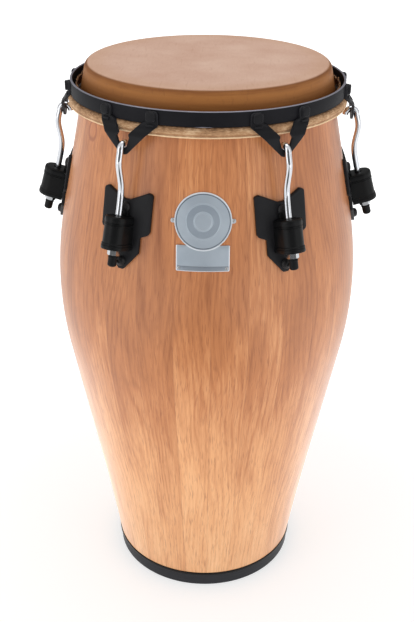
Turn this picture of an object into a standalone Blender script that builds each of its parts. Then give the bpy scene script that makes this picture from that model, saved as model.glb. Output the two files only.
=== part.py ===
"""A conga: a barrel of wooden staves, a rawhide head and six tuning stations.

Metres, +Z up. The drum stands on its foot at z = 0 with its axis on Z, and the badge faces -Y.
Azimuths are turns about +Z from -Y towards +X.
"""

import math

import bmesh
import bpy
from mathutils import Euler, Matrix, Vector

# Fits between pieces

SEAT_GAP = 0.0003            # between two pieces that touch
BOLT_CLEARANCE = 0.0004      # round a bolt or pin in its hole
ROD_CLEARANCE = 0.0006       # round a tuning rod in its block
THREAD_CLEARANCE = 0.00035   # round a tuning rod in its nut and its cap

# Shell

TOTAL_HEIGHT = 0.764         # floor to playing surface
WALL = 0.012                 # thickness of the staves
FOOT_RADIUS = 0.1313         # the staves' line carried down to the floor
ANKLE_HEIGHT = 0.130         # the staves flare more above this height
ANKLE_RADIUS = 0.1520
ANKLE_BEND = 0.120           # length of the bend there
BELLY_HEIGHT = 0.4677
BELLY_CORNER = 0.2158        # where the straight runs would meet, outside the rounded belly
BELLY_BEND = 0.198           # length of the bend at the belly
TOP_RADIUS = 0.1553          # outer edge at the top, before it is rounded
EDGE_ROUND = 0.006           # rounding outside the bearing edge
EDGE_LAND = 0.0035           # flat top of the bearing edge
EDGE_BEVEL = 0.006           # height of the bevel inside the bearing edge

# Foot ring

FOOT_RING_HEIGHT = 0.0244
FOOT_FLANGE = 0.003          # under the staves
FOOT_WALL = 0.0025           # beside the staves
FOOT_PROUD = 0.0023          # the ring's foot stands this far outside the staves' line
FOOT_LIP = 0.0010            # its top edge stands this far outside the staves
FOOT_LIP_HEIGHT = 0.0040

# Head

SKIN_THICKNESS = 0.002
COLLAR_DEPTH = 0.048         # playing surface to the collar's lower end
HOOP_WIRE_RADIUS = 0.004
HOOP_CLEARANCE = 0.0005      # between the hoop and the skin wrapped round it
ROLL_CLEARANCE = 0.0010      # between the collar and the wrapped skin
TAIL_HEIGHT = 0.0155         # trimmed end of the skin above the roll
TAIL_SET_IN = 0.0030         # from the roll's middle in to the trimmed end

# Rim

RIM_DROP = 0.0195            # playing surface down to the rim
RIM_HEIGHT = 0.0185
RIM_THICKNESS = 0.003
RIM_SET_OUT = 0.0035         # from the roll's middle out to the rim's face
RIM_EDGE = 0.0006            # small bevels on the rim's edges

# V brackets on the rim, as half widths along the rim and drops below its lower edge

BRACKET_PLATE = 0.003
EAR_OUTER = 0.0395
EAR_INNER = 0.0245
EAR_RISE = 0.0160
LEG_INNER = 0.0190
JOG_CLEARANCE = 0.0014       # between the legs and the roll they jog out past
BOW = 0.0052                 # the legs bow out by this much more below the roll
BOW_DROP = 0.0140
THROAT_HALF = 0.0070
THROAT_DROP = 0.0120
POCKET_HALF = 0.0085
POCKET_DROP = 0.0155
NECK_HALF = 0.0050
NECK_DROP = 0.0270
SEAT_HALF = 0.0038
SEAT_DROP = 0.0294           # where the hook bears
TIP_HALF = 0.0045
TIP_DROP = 0.0375
BRACKET_CHAMFER = 0.0015     # cut off the outline's corners
GAP_RISE_OUTER = 0.0030      # lower edge of the gap between the ears, at the ears
GAP_RISE_INNER = 0.0010      # and where the legs part

# Tuning hooks

STATION_COUNT = 6
FIRST_STATION = math.radians(30)
ROD_RADIUS = 0.004
ROD_TILT = math.radians(16.5)
ROD_STANDOFF = 0.0176        # rod's axis outside the shell at the block's top
HOOK_RADIUS = 0.0074         # bend over the bracket
WAVE_OUT = 0.0034            # the rod's outward wave, from the bend's outer leg
WAVE_OUT_DROP = 0.0128
WAVE_IN = 0.0004
WAVE_IN_DROP = 0.0440
JOIN_RISE = 0.0090           # the rod runs straight from here down
RIM_TRAVEL = 0.006           # how far tuning draws the rim down

# Lug blocks, nuts and caps, along the rod's axis

BLOCK_DROP = 0.148           # playing surface down to the block's top, on the rod's axis
BLOCK_LENGTH = 0.0405
BLOCK_BODY_RADIUS = 0.0130
BLOCK_LIP_RADIUS = 0.0137
BLOCK_FLARE_RADIUS = 0.0144
BLOCK_SET_OUT = 0.0033       # the round end's centre, outside the rod
BLOCK_CHAMFER = 0.0011
BLOCK_LIP_LENGTH = 0.0060
BLOCK_FLARE_LENGTH = 0.0070
NUT_ACROSS_FLATS = 0.013
NUT_HEIGHT = 0.008
CAP_RADIUS = 0.0055
CAP_LENGTH = 0.0135
CAP_BORE_DEPTH = 0.0098

# Side plates, as half widths and drops below the playing surface

PLATE_THICKNESS = 0.004
PLATE_NOTCH_HALF = 0.0040
PLATE_NOTCH_DROP = 0.1320
PLATE_PEAK_INNER = 0.0290
PLATE_PEAK_DROP = 0.1216
PLATE_OUTER = 0.0348
PLATE_CORNER_DROP = 0.1250
PLATE_WING_DROP = 0.1680
PLATE_STEP_OUTER = 0.0330
PLATE_STEP_DROP = 0.1708
PLATE_WAIST = 0.0226
PLATE_WAIST_DROP = 0.1755
PLATE_HIP_DROP = 0.1950
PLATE_TIP_HALF = 0.0035
PLATE_TIP_DROP = 0.2172
PLATE_CHAMFER = 0.0020       # cut off the upper outer corners
PLATE_CHAMFER_DROP = 0.0008
UPPER_BOLT_DROP = 0.1420
LOWER_BOLT_DROP = 0.2078
BOLT_SHANK_RADIUS = 0.003
BOLT_HEAD_RADIUS = 0.0062
BOLT_EDGE_SHARE = 0.2        # share of a head's height that is its upright edge
UPPER_HEAD_HEIGHT = 0.0042
LOWER_HEAD_HEIGHT = 0.0050
BOLT_NUT_HEIGHT = 0.0045
BOLT_NUT_SEAT = 0.0008       # room for the wall's curve behind the nut's flat face

# Badge

BADGE_THICKNESS = 0.0012
BADGE_DISC_RADIUS = 0.0345
BADGE_DISC_DROP = 0.1494
BADGE_TAG_HALF = 0.0323
BADGE_TAG_TOP_DROP = 0.1780
BADGE_TAG_BOTTOM_DROP = 0.2090
BADGE_EYE_HALF = 0.0026      # half height of the eyes beside the disc
BADGE_EYE_REACH = 0.0391
PIN_EYE_OFFSET = 0.0364
PIN_TAG_OFFSET = 0.0288
PIN_TAG_RISE = 0.0036
PIN_HEAD_RADIUS = 0.0019
PIN_HEAD_HEIGHT = 0.0009
PIN_SHANK_RADIUS = 0.0009
PIN_LENGTH = 0.009

# Facets

ROUND_SEGMENTS = 48
ROD_SIDES = 8
BORE_SIDES = 12
SMALL_SIDES = 8
BELLY_STEPS = 8              # facets round the belly's bend
PLATE_FACETS = 4             # flats across a side plate, between its hips
BADGE_FACETS = 6             # flats across the badge's tag
SMOOTH_ANGLE = math.radians(35)

# Heights and radii that follow from the sizes above

SHELL_BOTTOM = FOOT_FLANGE + SEAT_GAP
SHELL_TOP = TOTAL_HEIGHT - SKIN_THICKNESS - SEAT_GAP
SPREAD = (ANKLE_RADIUS - FOOT_RADIUS) / ANKLE_HEIGHT
FLARE = (BELLY_CORNER - ANKLE_RADIUS) / (BELLY_HEIGHT - ANKLE_HEIGHT)
TAPER = (BELLY_CORNER - TOP_RADIUS) / (TOTAL_HEIGHT - BELLY_HEIGHT)
RIM_BOTTOM = TOTAL_HEIGHT - RIM_DROP - RIM_HEIGHT
ROLL_RADIUS = HOOP_WIRE_RADIUS + HOOP_CLEARANCE + SKIN_THICKNESS
ROLL_HEIGHT = RIM_BOTTOM - SEAT_GAP - ROLL_RADIUS
BLOCK_TOP = TOTAL_HEIGHT - BLOCK_DROP


def bend(height, corner, length):
    """Rises from nothing below a bend to slope 1 above it, rounded over its length."""
    into = min(max(height - corner + length / 2, 0), length)
    beyond = max(height - corner - length / 2, 0)
    return into ** 2 / (2 * length) + beyond


def shell_radius(height):
    """Outer radius of the staves: three straight runs, rounded at the ankle and the belly."""
    ankle = (FLARE - SPREAD) * bend(height, ANKLE_HEIGHT, ANKLE_BEND)
    belly = (FLARE + TAPER) * bend(height, BELLY_HEIGHT, BELLY_BEND)
    return FOOT_RADIUS + SPREAD * height + ankle - belly


SHOULDER_ANGLE = math.atan(TAPER)    # the staves lean in by this much above the belly
SKIN_SET_OUT = SEAT_GAP + SKIN_THICKNESS
COLLAR_RADIUS = shell_radius(ROLL_HEIGHT) + SKIN_SET_OUT / math.cos(SHOULDER_ANGLE)
ROLL_MIDDLE = COLLAR_RADIUS + ROLL_CLEARANCE + ROLL_RADIUS
RIM_OUTER = ROLL_MIDDLE + RIM_SET_OUT
RIM_INNER = RIM_OUTER - RIM_THICKNESS
EAR_RADIUS = RIM_OUTER + SEAT_GAP + BRACKET_PLATE
JOG_RADIUS = ROLL_MIDDLE + ROLL_RADIUS + JOG_CLEARANCE + BRACKET_PLATE
BRACKET_SEAT = RIM_BOTTOM - SEAT_DROP
BRACKET_RADIUS = JOG_RADIUS + BOW
ROD_RADIAL = shell_radius(BLOCK_TOP) + ROD_STANDOFF

# The hook drifts outwards as it is drawn down its slanted block, so it starts that much inside
HOOK_DRIFT = RIM_TRAVEL * math.tan(ROD_TILT)
HOOK_MIDDLE = BRACKET_RADIUS - BRACKET_PLATE / 2 - HOOK_DRIFT / 2
HOOK_REACH = (BRACKET_PLATE + HOOK_DRIFT) / 2
HOOK_RISE = math.sqrt((HOOK_RADIUS - ROD_RADIUS - SEAT_GAP) ** 2 - HOOK_REACH ** 2)
HOOK_CENTRE = BRACKET_SEAT - HOOK_RISE


# Mesh helpers

def remove_all_objects():
    for item in list(bpy.data.objects):
        bpy.data.objects.remove(item, do_unlink=True)


def finish(name, colour, roughness, metallic):
    """A plain Principled material."""
    material = bpy.data.materials.new(name)
    material.use_nodes = True
    shader = material.node_tree.nodes["Principled BSDF"]
    shader.inputs["Base Color"].default_value = (*colour, 1.0)
    shader.inputs["Roughness"].default_value = roughness
    shader.inputs["Metallic"].default_value = metallic
    return material


def mesh_from(bm, name):
    """Close a bmesh into a mesh with outward faces and smooth rounds."""
    bmesh.ops.recalc_face_normals(bm, faces=bm.faces)
    mesh = bpy.data.meshes.new(name)
    bm.to_mesh(mesh)
    bm.free()
    mesh.shade_smooth()
    mesh.set_sharp_from_angle(angle=SMOOTH_ANGLE)
    return mesh


def place(name, mesh, material=None, location=(0, 0, 0), rotation=(0, 0, 0), parent=None):
    """Put a mesh in the scene as a named object."""
    item = bpy.data.objects.new(name, mesh)
    if material and not mesh.materials:
        mesh.materials.append(material)
    item.location = location
    item.rotation_euler = rotation
    item.parent = parent
    bpy.context.scene.collection.objects.link(item)
    return item


def on_circle(radius, azimuth, height):
    return Vector((radius * math.sin(azimuth), -radius * math.cos(azimuth), height))


def add_turned(bm, section, sides, matrix=Matrix.Identity(4)):
    """Turn a closed section of (radius, height) points round Z, or round matrix's Z."""
    rings = []
    for radius, height in section:
        count = sides if radius > 0 else 1
        turns = [2 * math.pi * step / sides for step in range(count)]
        rings.append([bm.verts.new(matrix @ on_circle(radius, turn, height)) for turn in turns])
    for ring, following in zip(rings, rings[1:] + rings[:1]):
        for step in range(sides):
            after = (step + 1) % sides
            corners = [ring[step % len(ring)], ring[after % len(ring)],
                       following[after % len(following)], following[step % len(following)]]
            corners = list(dict.fromkeys(corners))
            if len(corners) > 2:
                bm.faces.new(corners)


def turned_mesh(name, section, sides=ROUND_SEGMENTS):
    bm = bmesh.new()
    add_turned(bm, section, sides)
    return mesh_from(bm, name)


def cutter(name, sections_and_places, sides):
    """Solids that drill holes, kept out of the drum itself."""
    bm = bmesh.new()
    for section, matrix in sections_and_places:
        add_turned(bm, section, sides, matrix)
    tool = place(name, mesh_from(bm, name))
    tool.hide_render = True
    tool.display_type = "WIRE"
    return tool


def drill(item, tool):
    """Cut a tool's solids out of an object."""
    cut = item.modifiers.new(tool.name, "BOOLEAN")
    cut.operation = "DIFFERENCE"
    cut.solver = "EXACT"
    cut.object = tool


def rod_section(radius, low, high):
    return [(0, high), (radius, high), (radius, low), (0, low)]


def wrapped_mesh(name, outline, inner, outer, heights, widths):
    """A plate bent round the drum: outline holds (along, height) points, inner and outer give its radii."""
    bm = bmesh.new()
    bm.faces.new([bm.verts.new((along, 0, height)) for along, height in outline])
    cuts = [((0, 0, height), (0, 0, 1)) for height in heights]
    cuts += [((along, 0, 0), (1, 0, 0)) for along in widths]
    for point, normal in cuts:
        everything = bm.verts[:] + bm.edges[:] + bm.faces[:]
        bmesh.ops.bisect_plane(bm, geom=everything, dist=1e-7, plane_co=point, plane_no=normal)
    bmesh.ops.triangulate(bm, faces=bm.faces[:])
    back = bmesh.ops.extrude_face_region(bm, geom=bm.faces[:], use_keep_orig=True)["geom"]
    back_verts = {item for item in back if isinstance(item, bmesh.types.BMVert)}
    for vert in bm.verts:
        along, height = vert.co.x, vert.co.z
        radius = inner(height) if vert in back_verts else outer(height)
        vert.co = on_circle(radius, along / outer(height), height)
    return mesh_from(bm, name)


def facet_lines(half, count):
    """Places along a plate where it is cut into flats, from one side to the other."""
    return [half * (2 * step / count - 1) for step in range(count + 1)]


def dome(radius, low, height, steps):
    """Section of a rounded end, from its edge to its middle."""
    turns = [math.pi / 2 * step / steps for step in range(steps)]
    edge = [(radius * math.cos(turn), low + height * math.sin(turn)) for turn in turns]
    return edge + [(0, low + height)]


def mirrored(half):
    """A full outline from its right half, which runs from bottom to top."""
    return half + [(-along, height) for along, height in reversed(half)]


def below_top(drop):
    return TOTAL_HEIGHT - drop


def surface_matrix(azimuth, height, lift=0.0):
    """A frame on the shell, its Z square to the staves and lift outside them."""
    step = 0.001
    slope = (shell_radius(height + step) - shell_radius(height - step)) / (2 * step)
    lean = math.atan(slope)
    turn = Matrix.Rotation(azimuth, 4, "Z") @ Matrix.Rotation(math.pi / 2 + lean, 4, "X")
    point = on_circle(shell_radius(height), azimuth, height)
    return Matrix.Translation(point) @ turn @ Matrix.Translation((0, 0, lift))


# Shell and foot

def bend_heights(corner, length, steps):
    return [corner + length * (step / steps - 0.5) for step in range(steps + 1)]


def belly_heights():
    """Where the outside of the staves has its facets' edges at the belly."""
    return bend_heights(BELLY_HEIGHT, BELLY_BEND, BELLY_STEPS)


def shell_section():
    """Outer line from the foot up, over the bearing edge and down inside."""
    rabbet = FOOT_RADIUS + FOOT_PROUD - FOOT_WALL - SEAT_GAP
    ledge = FOOT_RING_HEIGHT + SEAT_GAP
    outer = [(rabbet, SHELL_BOTTOM), (rabbet, ledge), (shell_radius(ledge), ledge)]
    for height in bend_heights(ANKLE_HEIGHT, ANKLE_BEND, 2) + belly_heights():
        outer.append((shell_radius(height), height))
    corner = math.pi / 2 - SHOULDER_ANGLE
    centre = shell_radius(SHELL_TOP) - EDGE_ROUND * math.tan(corner / 2)
    edge = []
    for step in range(4):
        angle = SHOULDER_ANGLE + corner * step / 3
        edge.append((centre + EDGE_ROUND * math.cos(angle),
                     SHELL_TOP - EDGE_ROUND + EDGE_ROUND * math.sin(angle)))
    bevel_height = SHELL_TOP - EDGE_BEVEL
    inner = [(centre - EDGE_LAND, SHELL_TOP), (shell_radius(bevel_height) - WALL, bevel_height)]
    for height in reversed(bend_heights(BELLY_HEIGHT, BELLY_BEND, 6)):
        inner.append((shell_radius(height) - WALL, height))
    inner += [(shell_radius(ANKLE_HEIGHT) - WALL, ANKLE_HEIGHT), (rabbet - WALL, ledge)]
    inner += [(rabbet - WALL, SHELL_BOTTOM)]
    return outer + edge + inner, edge


def foot_ring_section():
    wall_outer = FOOT_RADIUS + FOOT_PROUD
    wall_inner = wall_outer - FOOT_WALL
    lip_outer = shell_radius(FOOT_RING_HEIGHT) + FOOT_LIP
    lip_low = FOOT_RING_HEIGHT - FOOT_LIP_HEIGHT
    return [
        (wall_inner - WALL, 0),
        (wall_outer, 0),
        (lip_outer - FOOT_LIP, lip_low - FOOT_LIP),
        (lip_outer, lip_low),
        (lip_outer, FOOT_RING_HEIGHT - FOOT_LIP / 2),
        (lip_outer - FOOT_LIP / 2, FOOT_RING_HEIGHT),
        (wall_inner, FOOT_RING_HEIGHT),
        (wall_inner, FOOT_FLANGE),
        (wall_inner - WALL, FOOT_FLANGE),
    ]


# Head

def skin_section(edge):
    """The playing surface and its collar, held off the shell by a small gap."""
    centre_radius, centre_height = edge[-1][0], SHELL_TOP - EDGE_ROUND

    def follow(set_out):
        points = []
        for radius, height in edge:
            outwards = Vector((radius - centre_radius, height - centre_height)).normalized()
            points.append((radius + outwards.x * set_out, height + outwards.y * set_out))
        low = below_top(COLLAR_DEPTH)
        points.insert(0, (shell_radius(low) + set_out / math.cos(SHOULDER_ANGLE), low))
        return points

    outside = follow(SKIN_SET_OUT)
    inside = follow(SEAT_GAP)
    return [(0, TOTAL_HEIGHT)] + outside[::-1] + inside + [(0, TOTAL_HEIGHT - SKIN_THICKNESS)]


def tuck_section():
    """Skin wrapped under and round the hoop, with its trimmed end standing inside the rim."""
    start, stop = math.radians(172), math.radians(468)
    steps = 7
    turns = [start + (stop - start) * step / steps for step in range(steps + 1)]

    def ring(radius):
        return [(ROLL_MIDDLE + radius * math.cos(turn), ROLL_HEIGHT + radius * math.sin(turn))
                for turn in turns]

    outside = ring(ROLL_RADIUS)
    inside = ring(ROLL_RADIUS - SKIN_THICKNESS)
    tail_outer = ROLL_MIDDLE - TAIL_SET_IN
    tail_inner = tail_outer - SKIN_THICKNESS
    tail_top = ROLL_HEIGHT + ROLL_RADIUS + TAIL_HEIGHT
    tail = [(tail_outer, tail_top), (tail_inner, tail_top)]
    return outside + tail + inside[::-1]


def hoop_section():
    sides = 8
    return [(ROLL_MIDDLE + HOOP_WIRE_RADIUS * math.cos(2 * math.pi * step / sides),
             ROLL_HEIGHT + HOOP_WIRE_RADIUS * math.sin(2 * math.pi * step / sides))
            for step in range(sides)]


# Rim and its brackets

def rim_section():
    top = RIM_BOTTOM + RIM_HEIGHT
    return [
        (RIM_INNER, RIM_BOTTOM),
        (RIM_OUTER - RIM_EDGE, RIM_BOTTOM),
        (RIM_OUTER, RIM_BOTTOM + RIM_EDGE),
        (RIM_OUTER, top - RIM_EDGE),
        (RIM_OUTER - RIM_EDGE, top),
        (RIM_INNER + RIM_EDGE, top),
        (RIM_INNER, top - RIM_EDGE),
    ]


def bracket_outer(height):
    """Outer radius of a bracket: flat on the rim, jogged out past the roll, bowed out to its tip."""
    jog_drop = RIM_BOTTOM - ROLL_HEIGHT
    drop = RIM_BOTTOM - height
    jog = min(max(drop / jog_drop, 0), 1)
    bow = min(max((drop - jog_drop) / (BOW_DROP - jog_drop), 0), 1)
    return EAR_RADIUS + (JOG_RADIUS - EAR_RADIUS) * jog + BOW * bow


def bracket_inner(height):
    return bracket_outer(height) - BRACKET_PLATE


def bracket_mesh():
    half_and_height = [
        (0, -TIP_DROP),
        (TIP_HALF, BRACKET_CHAMFER - TIP_DROP),
        (EAR_OUTER, -BRACKET_CHAMFER),
        (EAR_OUTER, EAR_RISE - BRACKET_CHAMFER),
        (EAR_OUTER - BRACKET_CHAMFER, EAR_RISE),
        (EAR_INNER, EAR_RISE),
        (EAR_INNER, GAP_RISE_OUTER),
        (LEG_INNER, GAP_RISE_INNER),
        (THROAT_HALF, -THROAT_DROP),
        (POCKET_HALF, -POCKET_DROP),
        (NECK_HALF, -NECK_DROP),
        (SEAT_HALF, -SEAT_DROP),
    ]
    half = [(along, RIM_BOTTOM + height) for along, height in half_and_height]
    outline = half + [(-along, height) for along, height in reversed(half[1:])]
    heights = [RIM_BOTTOM, ROLL_HEIGHT, RIM_BOTTOM - BOW_DROP]
    widths = [-EAR_INNER, -THROAT_HALF, THROAT_HALF, EAR_INNER]
    return wrapped_mesh("rim_bracket", outline, bracket_inner, bracket_outer, heights, widths)


# Tuning rods and what is on them

def rod_frame(azimuth):
    """Place and turn of a rod's frame: Z up its axis, Y inwards, origin at the block's top."""
    return on_circle(ROD_RADIAL, azimuth, BLOCK_TOP), Euler((-ROD_TILT, 0, azimuth))


def to_rod(radius, height):
    """A point of the station's upright plane, as (inwards, along) in the rod's frame."""
    out, up = radius - ROD_RADIAL, height - BLOCK_TOP
    inwards = -out * math.cos(ROD_TILT) - up * math.sin(ROD_TILT)
    along = -out * math.sin(ROD_TILT) + up * math.cos(ROD_TILT)
    return inwards, along


def from_rod(inwards, along):
    """The same point back as (radius, height)."""
    radius = ROD_RADIAL - inwards * math.cos(ROD_TILT) - along * math.sin(ROD_TILT)
    height = BLOCK_TOP - inwards * math.sin(ROD_TILT) + along * math.cos(ROD_TILT)
    return radius, height


def smooth_through(points, steps):
    """Points along a curve that passes through the given ones, without its first and last spans."""
    curve = []
    for before, start, end, after in zip(points, points[1:], points[2:], points[3:]):
        for step in range(steps):
            t = step / steps
            place_now = []
            for b, s, e, a in zip(before, start, end, after):
                place_now.append(0.5 * (2 * s + (e - b) * t + (2 * b - 5 * s + 4 * e - a) * t ** 2
                                        + (3 * s - b - 3 * e + a) * t ** 3))
            curve.append(tuple(place_now))
    curve.append(tuple(points[-2]))
    return curve


def hook_path():
    """Middle line of a hook from its tip over the bracket and down its wave to the threaded end."""
    bend_steps = 7
    bend_line = []
    for step in range(bend_steps):
        angle = math.pi * (1 - step / bend_steps)
        bend_line.append((HOOK_MIDDLE + HOOK_RADIUS * math.cos(angle),
                     HOOK_CENTRE + HOOK_RADIUS * math.sin(angle)))
    leg = HOOK_MIDDLE + HOOK_RADIUS
    join = from_rod(0, JOIN_RISE)
    straight = from_rod(0, 0)
    wave = smooth_through([
        bend_line[-1],
        (leg, HOOK_CENTRE),
        (leg + WAVE_OUT, HOOK_CENTRE - WAVE_OUT_DROP),
        (leg + WAVE_IN, HOOK_CENTRE - WAVE_IN_DROP),
        join,
        straight,
    ], 3)
    path = [to_rod(radius, height) for radius, height in bend_line + wave]
    path.append((0, -rod_length()))
    return path


def rod_length():
    """Threaded end below the block's top, ending inside its cap."""
    return BLOCK_LENGTH + NUT_HEIGHT + CAP_BORE_DEPTH + SEAT_GAP


def hook_mesh():
    path = hook_path()
    bm = bmesh.new()
    rings = []
    for index, (inwards, along) in enumerate(path):
        before = Vector(path[max(index - 1, 0)])
        after = Vector(path[min(index + 1, len(path) - 1)])
        run = (after - before).normalized()
        side = Vector((0, -run.y, run.x))
        middle = Vector((0, inwards, along))
        ring = []
        for step in range(ROD_SIDES):
            angle = 2 * math.pi * step / ROD_SIDES
            ring.append(bm.verts.new(middle + ROD_RADIUS * (math.cos(angle) * side
                                                            + math.sin(angle) * Vector((1, 0, 0)))))
        rings.append(ring)
    for ring, following in zip(rings, rings[1:]):
        for step in range(ROD_SIDES):
            after = (step + 1) % ROD_SIDES
            bm.faces.new((ring[step], ring[after], following[after], following[step]))
    bm.faces.new(rings[0])
    bm.faces.new(rings[-1])
    return mesh_from(bm, "tuning_hook")


def plate_outer(height):
    return shell_radius(height) + (SEAT_GAP + PLATE_THICKNESS) / math.cos(SHOULDER_ANGLE)


def root_reach(along):
    """How far the block reaches in from the rod to its plate, at a place along the rod."""
    inwards = 0.0
    for _ in range(12):
        radius, height = from_rod(inwards, along)
        inwards += radius - plate_outer(height) - SEAT_GAP
    return inwards


def block_mesh():
    arc_steps = 7
    bottom = -BLOCK_LENGTH
    levels = [
        (0, BLOCK_LIP_RADIUS - BLOCK_CHAMFER),
        (-BLOCK_CHAMFER, BLOCK_LIP_RADIUS),
        (-BLOCK_LIP_LENGTH, BLOCK_LIP_RADIUS),
        (-BLOCK_LIP_LENGTH - BLOCK_CHAMFER, BLOCK_BODY_RADIUS),
        (bottom + BLOCK_FLARE_LENGTH, BLOCK_BODY_RADIUS),
        (bottom + BLOCK_FLARE_LENGTH / 2, BLOCK_FLARE_RADIUS),
        (bottom + BLOCK_CHAMFER, BLOCK_FLARE_RADIUS),
        (bottom, BLOCK_FLARE_RADIUS - BLOCK_CHAMFER),
    ]
    bm = bmesh.new()
    rings = []
    for along, radius in levels:
        root = root_reach(along)
        ring = [bm.verts.new((radius, root, along))]
        for step in range(arc_steps + 1):
            angle = -math.pi * step / arc_steps
            ring.append(bm.verts.new((radius * math.cos(angle),
                                      radius * math.sin(angle) - BLOCK_SET_OUT, along)))
        ring.append(bm.verts.new((-radius, root, along)))
        rings.append(ring)
    for ring, following in zip(rings, rings[1:]):
        for step in range(len(ring)):
            after = (step + 1) % len(ring)
            bm.faces.new((ring[step], ring[after], following[after], following[step]))
    bm.faces.new(rings[0])
    bm.faces.new(rings[-1])
    return mesh_from(bm, "lug_block")


def nut_mesh():
    """Hexagon nut under the block, bored for the rod."""
    top = -BLOCK_LENGTH - SEAT_GAP
    low = top - NUT_HEIGHT + 2 * SEAT_GAP
    bore = ROD_RADIUS + THREAD_CLEARANCE
    corner = NUT_ACROSS_FLATS / 2 / math.cos(math.pi / 6)
    bm = bmesh.new()
    rings = []
    for radius, height in ((bore, top), (corner, top), (corner, low), (bore, low)):
        ring = []
        for step in range(BORE_SIDES):
            flat = step % 2 and radius == corner
            reach = radius * math.cos(math.pi / 6) if flat else radius
            ring.append(bm.verts.new(on_circle(reach, 2 * math.pi * step / BORE_SIDES, height)))
        rings.append(ring)
    for ring, following in zip(rings, rings[1:] + rings[:1]):
        for step in range(BORE_SIDES):
            after = (step + 1) % BORE_SIDES
            bm.faces.new((ring[step], ring[after], following[after], following[step]))
    return mesh_from(bm, "tuning_nut")


def cap_mesh():
    """Round cap over the rod's threaded end."""
    top = -BLOCK_LENGTH - NUT_HEIGHT - SEAT_GAP
    bore = ROD_RADIUS + THREAD_CLEARANCE
    low = top - CAP_LENGTH
    bore_end = top - CAP_BORE_DEPTH - SEAT_GAP
    section = [
        (0, bore_end),
        (bore, bore_end),
        (bore, top),
        (CAP_RADIUS, top),
    ]
    section += dome(CAP_RADIUS, low + CAP_RADIUS / 2, -CAP_RADIUS / 2, 3)
    return turned_mesh("thread_cap", section, BORE_SIDES)


# Side plates, bolts and badge

def side_plate_mesh():
    half = [
        (PLATE_TIP_HALF, below_top(PLATE_TIP_DROP)),
        (PLATE_WAIST, below_top(PLATE_HIP_DROP)),
        (PLATE_WAIST, below_top(PLATE_WAIST_DROP)),
        (PLATE_STEP_OUTER, below_top(PLATE_STEP_DROP)),
        (PLATE_OUTER, below_top(PLATE_WING_DROP)),
        (PLATE_OUTER, below_top(PLATE_CORNER_DROP)),
        (PLATE_OUTER - PLATE_CHAMFER, below_top(PLATE_PEAK_DROP + PLATE_CHAMFER_DROP)),
        (PLATE_PEAK_INNER, below_top(PLATE_PEAK_DROP)),
        (PLATE_NOTCH_HALF, below_top(PLATE_NOTCH_DROP)),
    ]

    def inner(height):
        return shell_radius(height) + SEAT_GAP / math.cos(SHOULDER_ANGLE)

    heights = [below_top(PLATE_WAIST_DROP)] + belly_heights()
    widths = facet_lines(PLATE_WAIST, PLATE_FACETS)
    return wrapped_mesh("side_plate", mirrored(half), inner, plate_outer, heights, widths)


def bolt_section(head_height):
    """Domed head outside the plate, shank through plate and staves, nut inside the shell."""
    seat = PLATE_THICKNESS + 2 * SEAT_GAP
    inside = -WALL * math.cos(SHOULDER_ANGLE) - BOLT_NUT_SEAT
    edge = head_height * BOLT_EDGE_SHARE
    head = dome(BOLT_HEAD_RADIUS, seat + edge, head_height - edge, 2)
    return head[::-1] + [
        (BOLT_HEAD_RADIUS, seat),
        (BOLT_SHANK_RADIUS, seat),
        (BOLT_SHANK_RADIUS, inside),
        (BOLT_HEAD_RADIUS, inside),
        (BOLT_HEAD_RADIUS, inside - BOLT_NUT_HEIGHT),
        (0, inside - BOLT_NUT_HEIGHT),
    ]


def badge_mesh():
    """A thin disc on a tag, with an eye at each side of the disc."""
    middle = below_top(BADGE_DISC_DROP)
    tag_top, tag_bottom = below_top(BADGE_TAG_TOP_DROP), below_top(BADGE_TAG_BOTTOM_DROP)
    notch = -math.asin((middle - tag_top) / BADGE_DISC_RADIUS)
    eye = math.asin(BADGE_EYE_HALF / BADGE_DISC_RADIUS)

    def arc(start, stop, steps):
        turns = [start + (stop - start) * step / steps for step in range(steps + 1)]
        return [(BADGE_DISC_RADIUS * math.cos(turn), middle + BADGE_DISC_RADIUS * math.sin(turn))
                for turn in turns]

    half = [(BADGE_TAG_HALF, tag_bottom), (BADGE_TAG_HALF, tag_top)]
    half += arc(notch, -eye, 4)
    half += [(BADGE_EYE_REACH, middle - BADGE_EYE_HALF / 2)]
    half += [(BADGE_EYE_REACH, middle + BADGE_EYE_HALF / 2)]
    half += arc(eye, math.radians(84), 7)

    def inner(height):
        return shell_radius(height) + SEAT_GAP / math.cos(SHOULDER_ANGLE)

    def outer(height):
        return shell_radius(height) + (SEAT_GAP + BADGE_THICKNESS) / math.cos(SHOULDER_ANGLE)

    widths = facet_lines(BADGE_TAG_HALF, BADGE_FACETS)
    return wrapped_mesh("badge", mirrored(half), inner, outer, belly_heights(), widths)


def pin_places():
    """Azimuth and height of the badge's four pins."""
    rows = [(PIN_EYE_OFFSET, below_top(BADGE_DISC_DROP)),
            (PIN_TAG_OFFSET, below_top(BADGE_TAG_BOTTOM_DROP - PIN_TAG_RISE))]
    return [(side * offset / shell_radius(height), height)
            for offset, height in rows for side in (-1, 1)]


def pin_section():
    seat = BADGE_THICKNESS + 2 * SEAT_GAP
    return dome(PIN_HEAD_RADIUS, seat, PIN_HEAD_HEIGHT, 2)[::-1] + [
        (PIN_SHANK_RADIUS, seat),
        (PIN_SHANK_RADIUS, -PIN_LENGTH),
        (0, -PIN_LENGTH),
    ]


# The drum

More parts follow.
